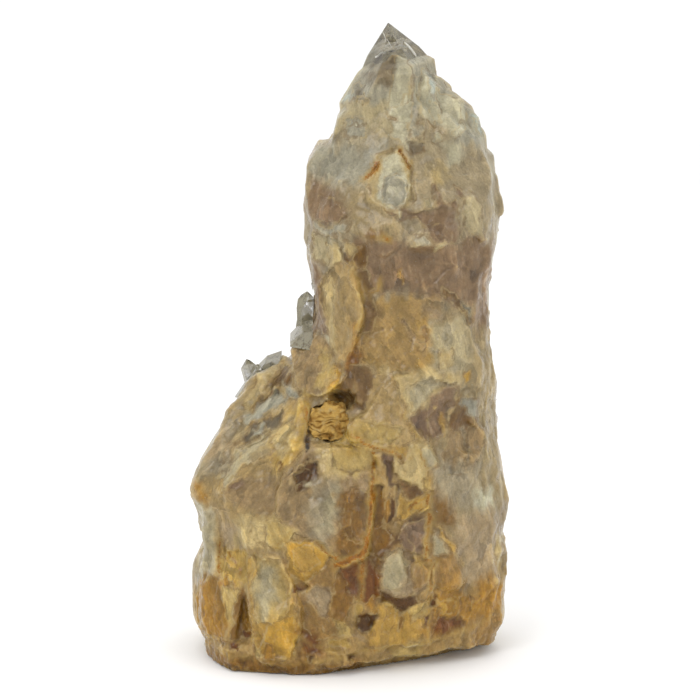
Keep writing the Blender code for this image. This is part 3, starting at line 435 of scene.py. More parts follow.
    (GOLD, 1, (16.3, 48.8, 18, 50.3, 20.8, 50.8, 21.8, 48.5, 19.5, 46.2, 16.8, 46.8)),
    (AMBER, 0.8, (17.8, 49, 20.4, 49.6, 20.4, 47.8, 18.4, 47.2)),
    (SMOKY, 3, (5, 36, 9, 39, 20, 46, 21.5, 43, 15, 38, 9, 33, 6.5, 28, 4.5, 30)),
    (UMBER, 1, (5.6, 41.5, 9.4, 42.5, 9.3, 39.4, 6, 38.5)),
    (UMBER, 0.7, (6, 39.3, 8.7, 42.3, 9, 41.6, 6.6, 38.6)),
    (MAUVE, 2, (15, 42, 21.4, 43.6, 21.3, 34, 16, 34, 14, 38)),
    (MAUVE, 1.5, (13, 39.5, 15, 41.8, 18, 35.5, 15, 35)),
    (BROWN, 3, (22.5, 41, 25, 40, 29, 36, 31.4, 29, 31.5, 24, 24, 24, 22.3, 32)),
    (PALE, 2, (23.4, 40, 26, 38.6, 28, 33, 24, 33)),
    (AMBER, 0.9, (24.6, 40.6, 26.4, 39, 29.6, 34.6, 31.5, 29.5, 31, 29, 28.8, 34, 26, 38)),
    (BRONZE, 3, (22.8, 53, 26, 53, 30, 46, 29, 41, 24.5, 42)),
    (BEIGE, 5, (23.5, 60, 35, 58, 36, 46, 30, 46, 24, 53)),
    (FROST, 4, (36, 50, 41, 50, 41, 36, 37, 36)),
    (PINK_BEIGE, 5, (30, 44, 44, 44, 44, 22, 31, 22)),
    (CREAM, 1.5, (40.8, 36, 43.4, 34, 43, 21, 40.6, 24)),
    (INKY, 0.4, (21.7, 101.8, 22.3, 101.8, 22.3, 101.2, 21.7, 101.2)),
    # two painted glints on the head
    (CLEAR, 0.5, (0.1, 152.9, 1, 152.8, 0.8, 152.1, 0.1, 152.2)),
    (FROST, 0.5, (2.2, 152.9, 3, 152.7, 2.8, 152.2, 2.1, 152.3)),
    (STRAW, 2.5, (-5, 65.5, 6, 66, 7, 59, 1, 58, -5, 60)),
    (UMBER, 2.5, (4, 41, 9, 43, 12, 39, 9, 34, 5, 36)),
    (BEIGE, 3, (-3, 50, 2, 51, 3, 46, 1, 42, -2, 44)),
    # the foot
    (TAN, 3, (-46, 46, -24, 46, -18, 38, -18, 20, -46, 14)),
    (CREAM, 3, (-32, 44, -22, 45.5, -15.5, 43, -17, 37, -24, 35.4, -32, 36)),
    (STRAW, 2.5, (-23, 45, -16, 43, -17.5, 38.5, -20, 35.5, -25, 38)),
    (CREAM, 1.8, (-27.5, 43, -23, 43, -24, 36.5, -28, 36.5)),
    (GOLD, 1.8, (-19, 38.5, -10, 39, -5.5, 35, -8.5, 31, -12, 28, -17, 29)),
    (AMBER, 1.5, (-16, 37, -10, 37.5, -9, 33, -13, 30.5, -16, 32)),
    (PALE, 3, (-45, 46, -38.5, 45, -38, 28, -39, 22, -45, 22)),
    (PINK_BEIGE, 3, (-37, 41, -32, 41, -32.5, 35.5, -36, 34)),
    (HONEY, 2, (-36, 34, -29, 34, -28, 27, -34, 22, -37, 28)),
    (UMBER, 0.8, (-36.4, 34, -35.6, 34, -35.4, 30.6, -36.2, 30.6)),
    (OCHRE, 2.5, (-43, 24, -35, 26, -31, 24.5, -33.5, 16, -35.5, 9, -42, 8, -44, 16)),
    (STRAW, 1.2, (-36, 23.5, -31.4, 25, -30.2, 24, -33, 19.4, -33.8, 13, -35, 15)),
    (BRONZE, 1.3, (-29.2, 26, -28.4, 20, -28.2, 11, -31, 8.5, -34.6, 8.5, -33, 15, -33, 20, -30.5, 23.5)),
    (AMBER, 2, (-28.5, 32, -18.5, 32, -15, 22, -14, 14, -17, 6, -27, 6, -27.6, 18)),
    (STRAW, 2.5, (-27, 33, -19.5, 33, -16.5, 24, -18, 17, -26, 15)),
    (PALE, 3, (-25.5, 32, -20.5, 31, -19.5, 23, -24, 16, -26, 22)),
    (GOLD, 2.5, (-22, 16, -15, 18, -15.4, 10, -18, 6, -25.5, 6.5, -24.6, 12)),
    (OCHRE, 1.5, (-24, 10, -21.6, 10, -21.6, 4.6, -24.2, 4.6)),
    (BROWN, 2, (-14, 26, -10, 30.5, -5, 34.6, 1.8, 32, 0.5, 22, -2, 13, -10, 10, -14, 16)),
    (PINK_BEIGE, 2, (-13, 24, -9, 27, -5, 24, -5.5, 17, -9, 19)),
    (BRONZE, 1.8, (-5, 27, -2, 32, 0.8, 30, 0.6, 22, -1.5, 14, -4.6, 16)),
    (UMBER, 1, (-16.6, 27, -14, 28.3, -11.8, 26.6, -12.5, 24.6, -16, 24.6)),
    (UMBER, 3.5, (-15, 14, -9, 12, -7, 6, -15, 5)),
    (UMBER, 1.8, (1.2, 33, 4.6, 35, 8, 30, 8.6, 22, 6, 18, 2.4, 22)),
    (HONEY, 0.8, (0.2, 28, 2.6, 22.6, 2.6, 20.4, 0, 24)),
    (STRAW, 0.8, (-4.5, 16.5, -1, 14.5, 1.6, 11, -3.8, 12.3)),
    (HONEY, 0.8, (1, 20.5, 3.4, 20, 2.6, 14.6, 1, 16.5)),
    (OCHRE, 0.8, (4, 20.5, 6.4, 22.6, 8.4, 18, 6.8, 16.2)),
    (DARK_SMOKY, 2, (7, 25, 10, 24.6, 18.5, 24, 20, 19.6, 14.4, 16.2, 9.4, 19.6)),
    (PINK_BEIGE, 1.5, (8, 30, 9.6, 34.5, 13, 36.6, 16, 35.6, 23, 32, 23.6, 25, 18, 23, 8.4, 24)),
    (PALE, 2.5, (8.6, 30, 10, 34.6, 13.6, 35.6, 16.4, 29, 13.4, 25, 8.8, 25.5)),
    (BROWN, 2, (17, 34, 23, 31.5, 22.6, 25, 18, 24.4)),
    (DARK_SMOKY, 1, (1.6, 17, 4, 17.6, 7.3, 16.4, 6.6, 12, 3.6, 11, 1.8, 12.4)),
    (AMBER, 1.8, (7.6, 19, 11, 20.4, 14, 16.6, 22, 20.8, 23.4, 16, 23, 8, 4.6, 7.6, 6.6, 13)),
    (AMBER, 1.2, (10, 19.6, 12.4, 18.6, 11.6, 12, 9.6, 13)),
    (STRAW, 1, (16.6, 18.6, 21.6, 20.6, 22, 16.4, 17.4, 14.6)),
    (BRONZE, 0.8, (13.4, 17, 15, 15.6, 14.4, 12.2, 13.4, 13.4)),
    (OCHRE, 7, (23, 21, 29, 27, 34, 20, 38, 26, 46, 21, 46, 6, 23, 5)),
    (GOLD, 1.5, (24.6, 19.6, 30, 20.4, 29.6, 16, 25, 15.4)),
    (UMBER, 2.5, (24, 14, 32, 14.6, 32, 8, 23, 7.6)),
    (HONEY, 0.8, (-6.4, 10.4, -1, 11, -0.4, 8.8, -6, 8)),
    (SAND, 4, (-46, 5, -36, 4.4, -20, 3, -14, 4.6, -6, 5, 2, 7, 8, 7.5, 24, 9, 46, 12, 46, -2, -46, -2)),
    (BRONZE, 3, (-46, 2.5, -30, 1.5, -10, 2.5, 3, 4.5, 3, -2, -46, -2)),
    (SAND, 3, (6, 7, 24, 8, 34, 9, 34, -2, 6, -2)),
    (BROWN, 4, (34, 12, 46, 12, 46, -2, 34, -2)),
    (UMBER, 2, (-3, 33, 2, 34, 4, 28, 2, 22, -1, 24)),
    (UMBER, 0.8, (22.6, 17.5, 24.3, 21.5, 24.8, 20, 24.4, 17.6, 23, 16.8)),
    (UMBER, 0.5, (20.8, 15.8, 22.2, 15.4, 22.1, 13, 21, 13.8)),
    (OCHRE, 1.2, (26.4, 19.3, 29.6, 19.5, 29.4, 16, 26.6, 15.6)),
    (OCHRE, 1.5, (31, 20, 34, 19.6, 33.8, 13.4, 30.8, 13.2)),
    (UMBER, 0.6, (-30, 12, -28, 11.5, -27.8, 10, -30, 9.6)),
    (INKY, 0.6, (-20, 5.6, -19, 5.4, -19.2, 4, -20, 4.2)),
    (INKY, 0.6, (-12.8, 5.6, -10.6, 5.6, -10.8, 3.8, -12.6, 3.8)),
    (DARK_SMOKY, 0.6, (-0.8, 6.4, 1.6, 6.6, 2, 5, -0.5, 4.6)),
    (UMBER, 0.5, (-34, 7.8, -31.4, 8, -31.4, 6, -33.8, 6)),
    (STRAW, 0.5, (-27, 7, -25, 7.6, -25, 5.4, -26.8, 5)),
    (BRONZE, 0.5, (-36, 8.6, -34.8, 9, -34.6, 7.6, -36, 7.4)),
    # a painted shadow: a dark slit beside the pocket
    (INKY, 0.5, (-12.9, 69, -12, 69.4, -11.6, 65, -12.4, 63.4, -13.1, 65)),
    (BRONZE, 3.5, (-4, 52, 2, 54, 3.5, 45, 2.5, 35, -3, 34, -4.5, 40, -2, 46)),
    (BRONZE, 2.8, (5, 53, 10, 52, 10.5, 38, 8, 33, 5, 36)),
    (PINK_BEIGE, 4, (-44, 70, -37, 71, -35, 63, -40, 58, -46, 62)),
    (HONEY, 3.5, (-3, 70, 4, 70.5, 4, 64, -2, 64)),
    (STRAW, 2.8, (12, 7, 20, 8, 20, 2, 12, 2)),
    (BRONZE, 2.8, (-38, 4, -12, 5, -12, -2, -38, -2)),
)
# Iron-stained cracks of the front: how wide each is, below 0 where it is only a trace, and its line's x, z, x, z.
CRACKS = (
    (0.4, (6.6, 64, 6.3, 58, 6.8, 55)),
    (1.0, (6.6, 56, 6.4, 52, 5.9, 49.5, 5.7, 47.5)),
    (0.6, (5.7, 47.5, 5, 44, 5, 40)),
    (1.3, (4.8, 40, 4.2, 37, 1.6, 34.8, -1, 33.8)),
    (0.7, (-1, 33.8, -4, 32.4)),
    (0.35, (3.2, 34.6, 3.2, 29, 3, 23)),
    (0.6, (0.5, 68.8, 2, 68.4, 4, 66.6, 7, 65.4)),
    (0.35, (7, 65.4, 11, 64.4, 13, 63.4)),
    (0.7, (21.6, 51, 21.4, 48.6)),
    (0.8, (21.8, 45, 22.6, 43.4, 22.4, 41.6)),
    (0.3, (22.2, 41, 21.6, 38, 21.4, 33)),
    (0.3, (18.5, 33.4, 21.6, 32, 23.4, 30.4, 22.6, 27.4, 22.8, 24)),
    (0.9, (4.4, 138.6, 5.6, 140, 7.6, 141.8)),
    (0.5, (14, 145.6, 15.4, 143.6, 16, 141.4)),
    (0.35, (9.4, 122.8, 10.8, 122.2)),
    (0.3, (-36.8, 36, -37, 30, -36.8, 26)),
    (0.25, (-34, 33, -31.6, 29.6, -30.6, 27.6)),
    (0.5, (-12.4, 75, -12.2, 71.5)),
    (0.4, (16.8, 47, 17.2, 48.6, 18.6, 49.6)),
    (0.35, (-9, 38.4, -6, 35.6, -3.6, 34.6)),
    (-0.5, (0.6, 115.5, 1.8, 113, 3.6, 108, 3.4, 103, 2.4, 98)),
    (-0.7, (2.5, 107, 5, 106.4, 8, 108, 8.4, 111)),
    (-0.6, (-2.4, 83, -4, 79.6, -8, 78)),
    (-0.5, (-16.6, 28, -13, 26.4, -12, 24.6)),
    (-0.7, (-17, 41.5, -21, 36.5, -17.8, 36.5)),
    (-0.6, (-15, 12, -11, 8.6, -7, 8.2, -4, 6)),
    (-0.6, (17.6, 66, 22, 58.5, 22.6, 54)),
    (-0.8, (-41, 7.5, -33, 4.5, -24, 3, -10, 4.4, 2, 6.4, 14, 7.6, 26, 8.6, 40, 11)),
)

POCKET = (-5.0, -27.0, 73.0)
TIP = np.array((10.7, 2.0, 180.0))
AXIS = np.array((-0.177, 0.02, 0.984))
NEAR_TIP = 4.0
# From where to where in mm, over the depth y, the height z or a distance, one kind of surface passes into the next.
FRONT_TO_BACK = (-16.0, 4.0)
FACES_TO_BROKEN = (-6.0, 8.0)
BROKEN_TO_TIP = (155.0, 166.0)
POCKET_RIM = (8.0, 11.0)

points, corners = merged("quartz_cluster")


def grain_at(middle):
    """How long an edge may be: finer in front than behind, and finest at the tip."""
    grain = FRONT_GRAIN + (BACK_GRAIN - FRONT_GRAIN) * step(middle[:, 1], *FRONT_TO_BACK)
    return np.where(np.linalg.norm(middle - TIP, axis=1) < NEAR_TIP, TIP_GRAIN, grain)


def how_broken(points):
    """0 where the quartz has crystal faces, behind and at the tip, and 1 on its broken front."""
    return step(-points[:, 1], *FACES_TO_BROKEN) * (1 - step(points[:, 2], *BROKEN_TO_TIP))


def beside_pocket(points):
    """0 in the pocket and at its rim, and 1 away from it."""
    return step(np.linalg.norm(points - POCKET, axis=1), *POCKET_RIM)


def remade(points, corners, kind, where=(), **settings):
    """The points and the triangles that a modifier of that kind makes of a mesh, with a group of the points where."""
    mesh = bpy.data.meshes.new("remade")
    mesh.from_pydata(points.tolist(), [], corners.tolist())
    made = bpy.data.objects.new("remade", mesh)
    bpy.context.scene.collection.objects.link(made)
    made.vertex_groups.new(name="where").add(np.flatnonzero(where).tolist(), 1.0, "REPLACE")
    modifier = made.modifiers.new("remade", kind)
    for key, value in settings.items():
        setattr(modifier, key, value)
    whole = made.evaluated_get(bpy.context.evaluated_depsgraph_get())
    even = whole.to_mesh()
    even.calc_loop_triangles()
    points = np.empty(len(even.vertices) * 3)
    even.vertices.foreach_get("co", points)
    corners = np.empty(len(even.loop_triangles) * 3, int)
    even.loop_triangles.foreach_get("vertices", corners)
    whole.to_mesh_clear()
    bpy.data.objects.remove(made)
    bpy.data.meshes.remove(mesh)
    return points.reshape(-1, 3), corners.reshape(-1, 3)


points, corners = refined(points, corners, grain_at)
broken = how_broken(points)
points += (eased(points, corners, 3) - points) * broken[:, None]

# The cracks between the front's blocks are healed, and the steps are eased, but not round the pocket.
HEAL_CELL = 0.8
HEAL_REACH = 4
HEALED = 0.7
SHALLOW_TO_CRACK = (0.3, 0.9)
CRACK_TO_CLEFT = (12.0, 18.0)
FOOT_TO_BODY = (30.0, 45.0)
BODY_TO_HEAD = (110.0, 130.0)
FRONT_TO_FLANK = (-16.0, -8.0)
MELT_ROUNDS = 30
MELTED = 0.3
MELTED_IN_CRACKS = 0.45

pocket = beside_pocket(points)
filled, depth = healed(points, HEAL_CELL, HEAL_REACH)
gap = np.maximum(points[:, 1] - filled, 0)
mending = step(depth, *SHALLOW_TO_CRACK) * (1 - step(gap, *CRACK_TO_CLEFT)) * broken * pocket
points[:, 1] -= gap * HEALED * mending
points += (eased(points, corners, 10) - points) * mending[:, None]
facing = normals_of(points, corners)
melted = eased(points, corners, MELT_ROUNDS)
crack = step(((melted - points) * facing).sum(axis=1), -0.2, 0.8)
flank = step(points[:, 2], *BODY_TO_HEAD) * step(points[:, 1], *FRONT_TO_FLANK)
firm = 1 - step(points[:, 2], *FOOT_TO_BODY)
share = (MELTED + MELTED_IN_CRACKS * crack) * broken * pocket * (1 - 0.7 * flank) * (1 - 0.6 * firm)
points += (melted - points) * share[:, None]

# Under the clear point the milky quartz ends in a rough phantom: the top is pressed down and keeps the point's width.
CLEAR_LENGTH = 12.0
PHANTOM_FROM = 12.5
PHANTOM_TOP = 8.0
PHANTOM_BACK = 0.05
PHANTOM_ROUGHNESS = 0.6
POINT_BLUNTNESS = 1.0

below = np.maximum((TIP - points) @ AXIS, 0.05)
pressed = below + PHANTOM_TOP * np.clip(1 - below / PHANTOM_FROM, 0, 1)
inside = 1 - step(below, 0.55 * PHANTOM_FROM, 0.9 * PHANTOM_FROM)
from_axis = points - (TIP - AXIS * below[:, None])
widened = (pressed + POINT_BLUNTNESS) / (below + POINT_BLUNTNESS) * (1 - PHANTOM_BACK * inside)
pressed = pressed + inside * PHANTOM_ROUGHNESS * cloudy(points + from_axis * (widened - 1)[:, None], 3.5, 61)
points = TIP - AXIS * pressed[:, None] + from_axis * widened[:, None]

# It is drawn back to the roots of the clear crystals that stand out on the left, at its side and on its shoulder.
SIDE_ROOT = -10.5
SIDE_HEIGHTS = (90.5, 106.5)
SHOULDER_ROOT = (-29.0, 76.5)
SHOULDER_SLOPE = 0.73
DRAWN_BACK = 0.92

x, y, z = points.T
low_end, high_end = SIDE_HEIGHTS
by_side = step(z, low_end - 1, low_end + 1) * (1 - step(z, high_end - 1, high_end + 1))
points[:, 0] = np.where(x < SIDE_ROOT, x + (SIDE_ROOT - x) * DRAWN_BACK * by_side, x)
by_shoulder = step(y, -6.5, -5.0) * step(-x, 19.5, 20.5)
above = z - SHOULDER_ROOT[1] - SHOULDER_SLOPE * (x - SHOULDER_ROOT[0])
points[:, 2] -= np.maximum(above, 0) * DRAWN_BACK * by_shoulder

# A new skin of even faces round that, thinned out behind, with chips and a crumbly foot. Each kind of chip has its
# size, its height, the seed of its pattern, and a number below 1 where it is longer along the growth.
SKIN_GRAIN = 0.58
MOST_TRIANGLES = 190000
THINNED_FROM = -6.0
FLAT_FOOT = 0.3
POINT_TO_BODY = (9.0, 18.0)
VEIL_ROUGHNESS = 1.2
DRIFT_SEEDS = (51, 52, 53)
CHIPS = ((7.5, 0.38, 3, 0.6), (3.8, 0.22, 5, 1.0), (1.9, 0.14, 7, 1.0))
CRUMBLY_TO_FIRM = (5.0, 12.0)

points, corners = remade(points, corners, "REMESH", mode="VOXEL", voxel_size=SKIN_GRAIN)
thinned = points[:, 1] > THINNED_FROM
kept = MOST_TRIANGLES / len(corners)
points, corners = remade(points, corners, "DECIMATE", thinned, ratio=kept, vertex_group="where")
on_foot = points[:, 2] < FLAT_FOOT
under_tip = (TIP - points) @ AXIS
calm = step(under_tip, *POINT_TO_BODY)
veil = step(under_tip + VEIL_ROUGHNESS * cloudy(points, 2.5, 62), PHANTOM_TOP - 1.5, PHANTOM_TOP + 1.2)
broken = how_broken(points)
drift = np.stack([cloudy(points, 7.0, seed) + 0.5 * cloudy(points, 3.0, seed + 3) for seed in DRIFT_SEEDS], axis=1)
points += drift * (calm * (0.1 + 0.8 * broken) * (1 - 0.5 * step(points[:, 2], 115.0, 130.0)))[:, None]
facing = normals_of(points, corners)
rough = (0.12 + 0.88 * broken) * (1 - 0.35 * step(points[:, 2], 100.0, 112.0))
rise = sum(rough * height * chipped(points * [1, 1, along_z], size, seed) for size, height, seed, along_z in CHIPS)
crumbly = (1 - step(points[:, 2], *CRUMBLY_TO_FIRM)) * (0.3 + 0.7 * broken)
rise += crumbly * (0.45 * cloudy(points, 2.2, 11) + 0.3 * cloudy(points, 1.1, 12) - 0.2)
points += facing * (calm * rise)[:, None]
points[:, 2] = np.where(on_foot, 0.0, np.maximum(points[:, 2], 0.05))

# Colour at each point: the tone of what it shows in front, and a mixture of the same tones behind. Outlines that are
# crisp also lift or tilt what they hold, as a plate of the quartz.
FAR = 3.0
CRISP = 2.6
PLATE_RISE = 0.55
PLATE_TILT = 0.11
WAVER = 0.8
CRACK_WAVER = 0.45
NO_STAIN = 20.0
STAIN_CONTRAST = 0.14

facing = normals_of(points, corners)
warp = np.stack([
    1.2 * cloudy(points, 5.0, seed) + 0.8 * cloudy(points, 2.2, seed + 3) + 0.5 * cloudy(points, 1.1, seed + 6)
    for seed in (21, 22)
], axis=1)
x, z = (points[:, [0, 2]] + WAVER * warp).T
ahead = step(-eased(facing, corners, 4)[:, 1], 0.05, 0.4) * (1 - step(points[:, 1], 4.0, 12.0))
behind = step(points[:, 1], -14.0, 0.0) * (1 - ahead)
tone = SAND + (BEIGE - SAND) * step(points[:, 2], 40.0, 110.0)[:, None]
tone += (PALE - tone) * step(points[:, 2], 135.0, 155.0)[:, None]
border = np.full(len(points), FAR)
plate = np.zeros(len(points), int)
lift = np.zeros(len(points))
feather = cloudy(points * [1, 1, 0.45], 1.7, 27) + 0.6 * cloudy(points * [1, 1, 0.6], 0.9, 28)
for number, (hue, soft, outline) in enumerate(TONES):
    inward = depth_in(x, z, outline)
    share = step(inward + 0.4 * (soft - 0.5) * feather, -0.5 * soft, 0.5 * soft) * (1 - behind)
    tone += (hue - tone) * share[:, None]
    if soft < CRISP:
        middle = np.reshape(outline, (-1, 2)).mean(axis=0)
        rise, right, up = scrambled(np.array([[number] * 3] * 3) * [[1], [2], [3]], 72)
        tilt = PLATE_TILT * (right * (x - middle[0]) + up * (z - middle[1]))
        lift += (PLATE_RISE * rise + np.clip(tilt, -PLATE_RISE, PLATE_RISE) - lift) * step(inward, -0.35, 0.35)
        border = np.where(inward > 0, inward, np.minimum(border, -inward))
        plate = np.where(inward > 0, number, plate)
border = (border + (FAR - border) * behind) * np.where(plate % 2 > 0, 1, -1)
lift *= (1 - behind) * how_broken(points) * beside_pocket(points)
lift *= (1 - on_foot) * step(points[:, 0], -44.0, -38.0) * (1 - step(points[:, 0], 38.0, 44.0))
points[:, 1] -= lift
facing = normals_of(points, corners)
bulge = ((points - eased(points, corners, 10)) * facing).sum(axis=1)
bulge = eased(bulge, corners, 1)[:, 0]
# Painted light: faces that turn sideways, above the foot, go part way to a grey-green that stands in for light seen
# through the thin quartz at the sides.
rim = step(facing[:, 1], -0.55, -0.15) * step(points[:, 2], 12.0, 30.0) * (0.6 + 0.4 * cloudy(points, 5.0, 35))
see_through_tone = OLIVE + (CLEAR - OLIVE) * step(points[:, 2], 120.0, 145.0)[:, None]
tone += (see_through_tone - tone) * (0.4 * rim)[:, None]

# Lower down the tones differ more, as iron has stained some of the blocks there and not others.
stained = (1 - behind) * (1 - step(points[:, 2], 60.0, 95.0))
tone += (tone - np.average(tone, axis=0, weights=stained)) * (STAIN_CONTRAST * stained)[:, None]
tone = np.maximum(tone, 0.005)
patchy = cloudy(points * [1, 1, 0.5], 16.0, 31) + 0.5 * cloudy(points * [1, 1, 0.6], 7.0, 32)
low = 1 - step(points[:, 2], 30.0, 110.0)
for hue, share in (
    (PALE, 0.7),
    (MAUVE, step(patchy, 0.2, 0.9)),
    (FROST, step(-patchy, 0.1, 0.7)),
    (TAN, step(cloudy(points, 13.0, 33) + 1.0 * low, 0.7, 1.4)),
    (HONEY, step(cloudy(points, 9.0, 34) + 0.7 * (1 - step(points[:, 2], 5, 30)), 0.7, 1.3)),
):
    tone += (hue - tone) * (share * behind)[:, None]
stain = np.full(len(points), NO_STAIN)
for width, line in CRACKS:
    reach = along(*(points[:, [0, 2]] + CRACK_WAVER * warp).T, line)
    stain = np.minimum(stain, reach - 0.5 * width * (1 + 0.9 * cloudy(points, 3.2, 36)))
stain = np.where(behind > 0.5, NO_STAIN, stain)

# The quartz is streaked along its growth: upright above, along the slope of the shoulder, and across the brown face.
# Each plate leans its own way as well.
SLOPE_LEAN = 43.0
FACE_LEAN = -41.0
UPRIGHT_LEAN = -17.0
PLATE_LEAN = 16.0

on_slope = (x < -13) & (z > 45) & (z < 89)
on_face = (x > 2) & (x < 26) & (z > 82) & (z < 107)
own_lean = PLATE_LEAN * scrambled(np.stack([plate] * 3, axis=1), 71)
lean = np.radians(np.where(on_slope, SLOPE_LEAN, np.where(on_face, FACE_LEAN, UPRIGHT_LEAN)) + own_lean)
lay = np.stack([
    points[:, 0] * np.cos(lean) - points[:, 2] * np.sin(lean), points[:, 1],
    points[:, 0] * np.sin(lean) + points[:, 2] * np.cos(lean),
], axis=1)
tone = np.hstack([tone, np.ones((len(tone), 1))])
quartz = piece(
    "quartz_mass", points, corners, tone=tone, bulge=bulge, stain=stain, broken=broken, lay=lay, border=border,
    veil=veil, upper=step(points[:, 2], *BODY_TO_HEAD),
)


class Term:
    """One value in a material, which can be added to, taken from, multiplied and divided like a number."""

    def __init__(self, finish, socket):
        self.finish = finish
        self.socket = socket

    def _with(self, operation, first, second):
        return self.finish.add("ShaderNodeMath", {"operation": operation}, {0: first, 1: second})

    def __add__(self, other):
        return self._with("ADD", self, other)

    def __radd__(self, other):
        return self._with("ADD", other, self)

    def __sub__(self, other):
        return self._with("SUBTRACT", self, other)

    def __rsub__(self, other):
        return self._with("SUBTRACT", other, self)

    def __mul__(self, other):
        return self._with("MULTIPLY", self, other)

    def __rmul__(self, other):
        return self._with("MULTIPLY", other, self)


class Finish:
    """A material, with one method that adds any node to it."""

    def __init__(self, name):
        self.material = bpy.data.materials.new(name)
        self.material.use_nodes = True
        self.tree = self.material.node_tree
        self.shader = self.tree.nodes["Principled BSDF"]

    def add(self, kind, settings=None, values=None, output=0):
        """Adds a node with its settings, then its sockets' values or links, and gives one of its outputs."""
        made = self.tree.nodes.new(kind)
        for key, value in (settings or {}).items():
            setattr(made, key, value)
        self.feed(made, values or {})
        return Term(self, made.outputs[output])

    def feed(self, node, values):
        """Links or sets a node's sockets."""
        for key, value in values.items():
            if isinstance(value, Term):
                self.tree.links.new(value.socket, node.inputs[key])
            else:
                node.inputs[key].default_value = value

    def attribute(self, name, output="Fac"):
        """What the piece's mesh says at each point under that name."""
        return self.add("ShaderNodeAttribute", {"attribute_name": name}, {}, output)

    def place(self, name=None):
        """Where a point is: on the object, in metres, or by one of the piece's own attributes, in mm."""
        if name:
            return self.attribute(name, "Vector")
        place = self.add("ShaderNodeTexCoord", {}, {}, "Object")
        return self.add("ShaderNodeVectorMath", {"operation": "SCALE"}, {0: place, "Scale": 1 / MM})

    def noise(self, size, detail=3.0, roughness=0.5, stretch=(1, 1, 1), distortion=0.0, place=None):
        """Cloudy noise around 0.5 whose lumps are about that size in mm, drawn out along an axis by its stretch."""
        scale = tuple(1 / (size * s) for s in stretch)
        spot = self.add("ShaderNodeVectorMath", {"operation": "MULTIPLY"}, {0: self.place(place), 1: scale})
        return self.add("ShaderNodeTexNoise", {}, {
            "Vector": spot, "Scale": 1.0, "Detail": detail, "Roughness": roughness, "Distortion": distortion,
        }, "Fac")

    def cells(self, output, size, stretch, bend, place=None):
        """Cells of about that size in mm round scattered seeds, their borders bent by noise."""
        scale = tuple(1 / (size * s) for s in stretch)
        spot = self.add("ShaderNodeVectorMath", {"operation": "MULTIPLY"}, {0: self.place(place), 1: scale})
        bent = self.add("ShaderNodeTexNoise", {}, {"Vector": spot, "Scale": 1.7, "Detail": 4.0}, "Color")
        bent = self.add("ShaderNodeVectorMath", {"operation": "SUBTRACT"}, {0: bent, 1: (0.5, 0.5, 0.5)})
        bent = self.add("ShaderNodeVectorMath", {"operation": "SCALE"}, {0: bent, "Scale": bend})
        spot = self.add("ShaderNodeVectorMath", {"operation": "ADD"}, {0: spot, 1: bent})
        settings = {"feature": "DISTANCE_TO_EDGE"} if output == "Distance" else {}
        return spot, self.add("ShaderNodeTexVoronoi", settings, {"Vector": spot, "Scale": 1.0}, output)

    def chips(self, size, stretch=(1, 1, 1), bend=0.0, place=None):
        """The height of flat chips: each cell's own slope times the way to its middle."""
        spot, cell = self.cells("Position", size, stretch, bend, place)
        away = self.add("ShaderNodeVectorMath", {"operation": "SUBTRACT"}, {0: spot, 1: cell})
        hue = Term(self, cell.socket.node.outputs["Color"])
        slope = self.add("ShaderNodeVectorMath", {"operation": "SUBTRACT"}, {0: hue, 1: (0.5, 0.5, 0.5)})
        return self.add("ShaderNodeVectorMath", {"operation": "DOT_PRODUCT"}, {0: away, 1: slope}, "Value")

    def band(self, value, low, high):
        """From 0 at low to 1 at high, eased at both ends."""
        settings = {"interpolation_type": "SMOOTHSTEP"}
        return self.add("ShaderNodeMapRange", settings, {0: value, 1: low, 2: high, 3: 0.0, 4: 1.0})

    def mix(self, share, first, second, blend="MIX"):
        """A colour between two, or one laid over the other in the way that blend names."""
        values = {0: share}
        for key, hue in ((6, first), (7, second)):
            values[key] = hue if isinstance(hue, Term) else (*hue, 1.0)
        return self.add("ShaderNodeMix", {"data_type": "RGBA", "blend_type": blend}, values, 2)

    def bump(self, height, strength, distance):
        """The way a surface faces where it has that height, times the distance in mm."""
        return self.add("ShaderNodeBump", {}, {"Strength": strength, "Distance": distance * MM, "Height": height})


QUARTZ_IOR = 1.544
GLOW_DEPTH = 0.006

milky = Finish("milky_citrine")
bulging = milky.attribute("bulge")
edges = milky.band(bulging, 0.12, 0.5)
hollow_stain_and_shade = milky.band(bulging, -0.12, -0.55)
cloud = milky.noise(7.0, 4.0, 0.58, (1, 1, 1.6), 0.4, "lay")
streaks = milky.noise(1.2, 4.0, 0.62, (1, 1, 7), 0.3, "lay")
wisps = milky.noise(2.6, 4.0, 0.6, (1, 1, 2.2), 0.5, "lay")
grain = milky.noise(0.55, 3.0, 0.6)
fractures = milky.chips(5.0, (1, 1, 1.8), 0.9, "lay")
patches = milky.noise(6.0, 2.0)
hairlines = milky.band(milky.cells("Distance", 5.5, (1, 1, 2), 0.9, "lay")[1], 0.045, 0.0)
hairlines = hairlines * milky.band(patches, 0.5, 0.6)
# Painted glints: tiny pale specks that stand in for highlights.
painted_glints = milky.band(milky.noise(0.7, 2.0), 0.70, 0.76) * milky.band(patches, 0.55, 0.45)
upper = milky.attribute("upper")
base = milky.attribute("tone", "Color")
base = milky.mix(0.24 - upper * 0.08, base, (cloud - 0.5) * 1.6 + 0.5, "OVERLAY")
base = milky.mix(milky.band(cloud, 0.38, 0.62) * 0.4, base, (streaks - 0.5) * 1.5 + 0.52, "OVERLAY")
base = milky.mix(0.22 - upper * 0.08, base, (wisps - 0.5) * 1.7 + 0.52, "OVERLAY")
base = milky.mix(0.2, base, (grain - 0.5) * 1.8 + 0.5, "OVERLAY")
base = milky.mix(0.32 - upper * 0.12, base, fractures + 0.5, "OVERLAY")
base = milky.mix(painted_glints * 0.5, base, CLEAR)
base = milky.mix(hairlines * 0.1, base, FROST)
base = milky.mix(milky.band(wisps + (streaks - 0.5) * 0.6, 0.62, 0.78) * 0.22, base, FROST)
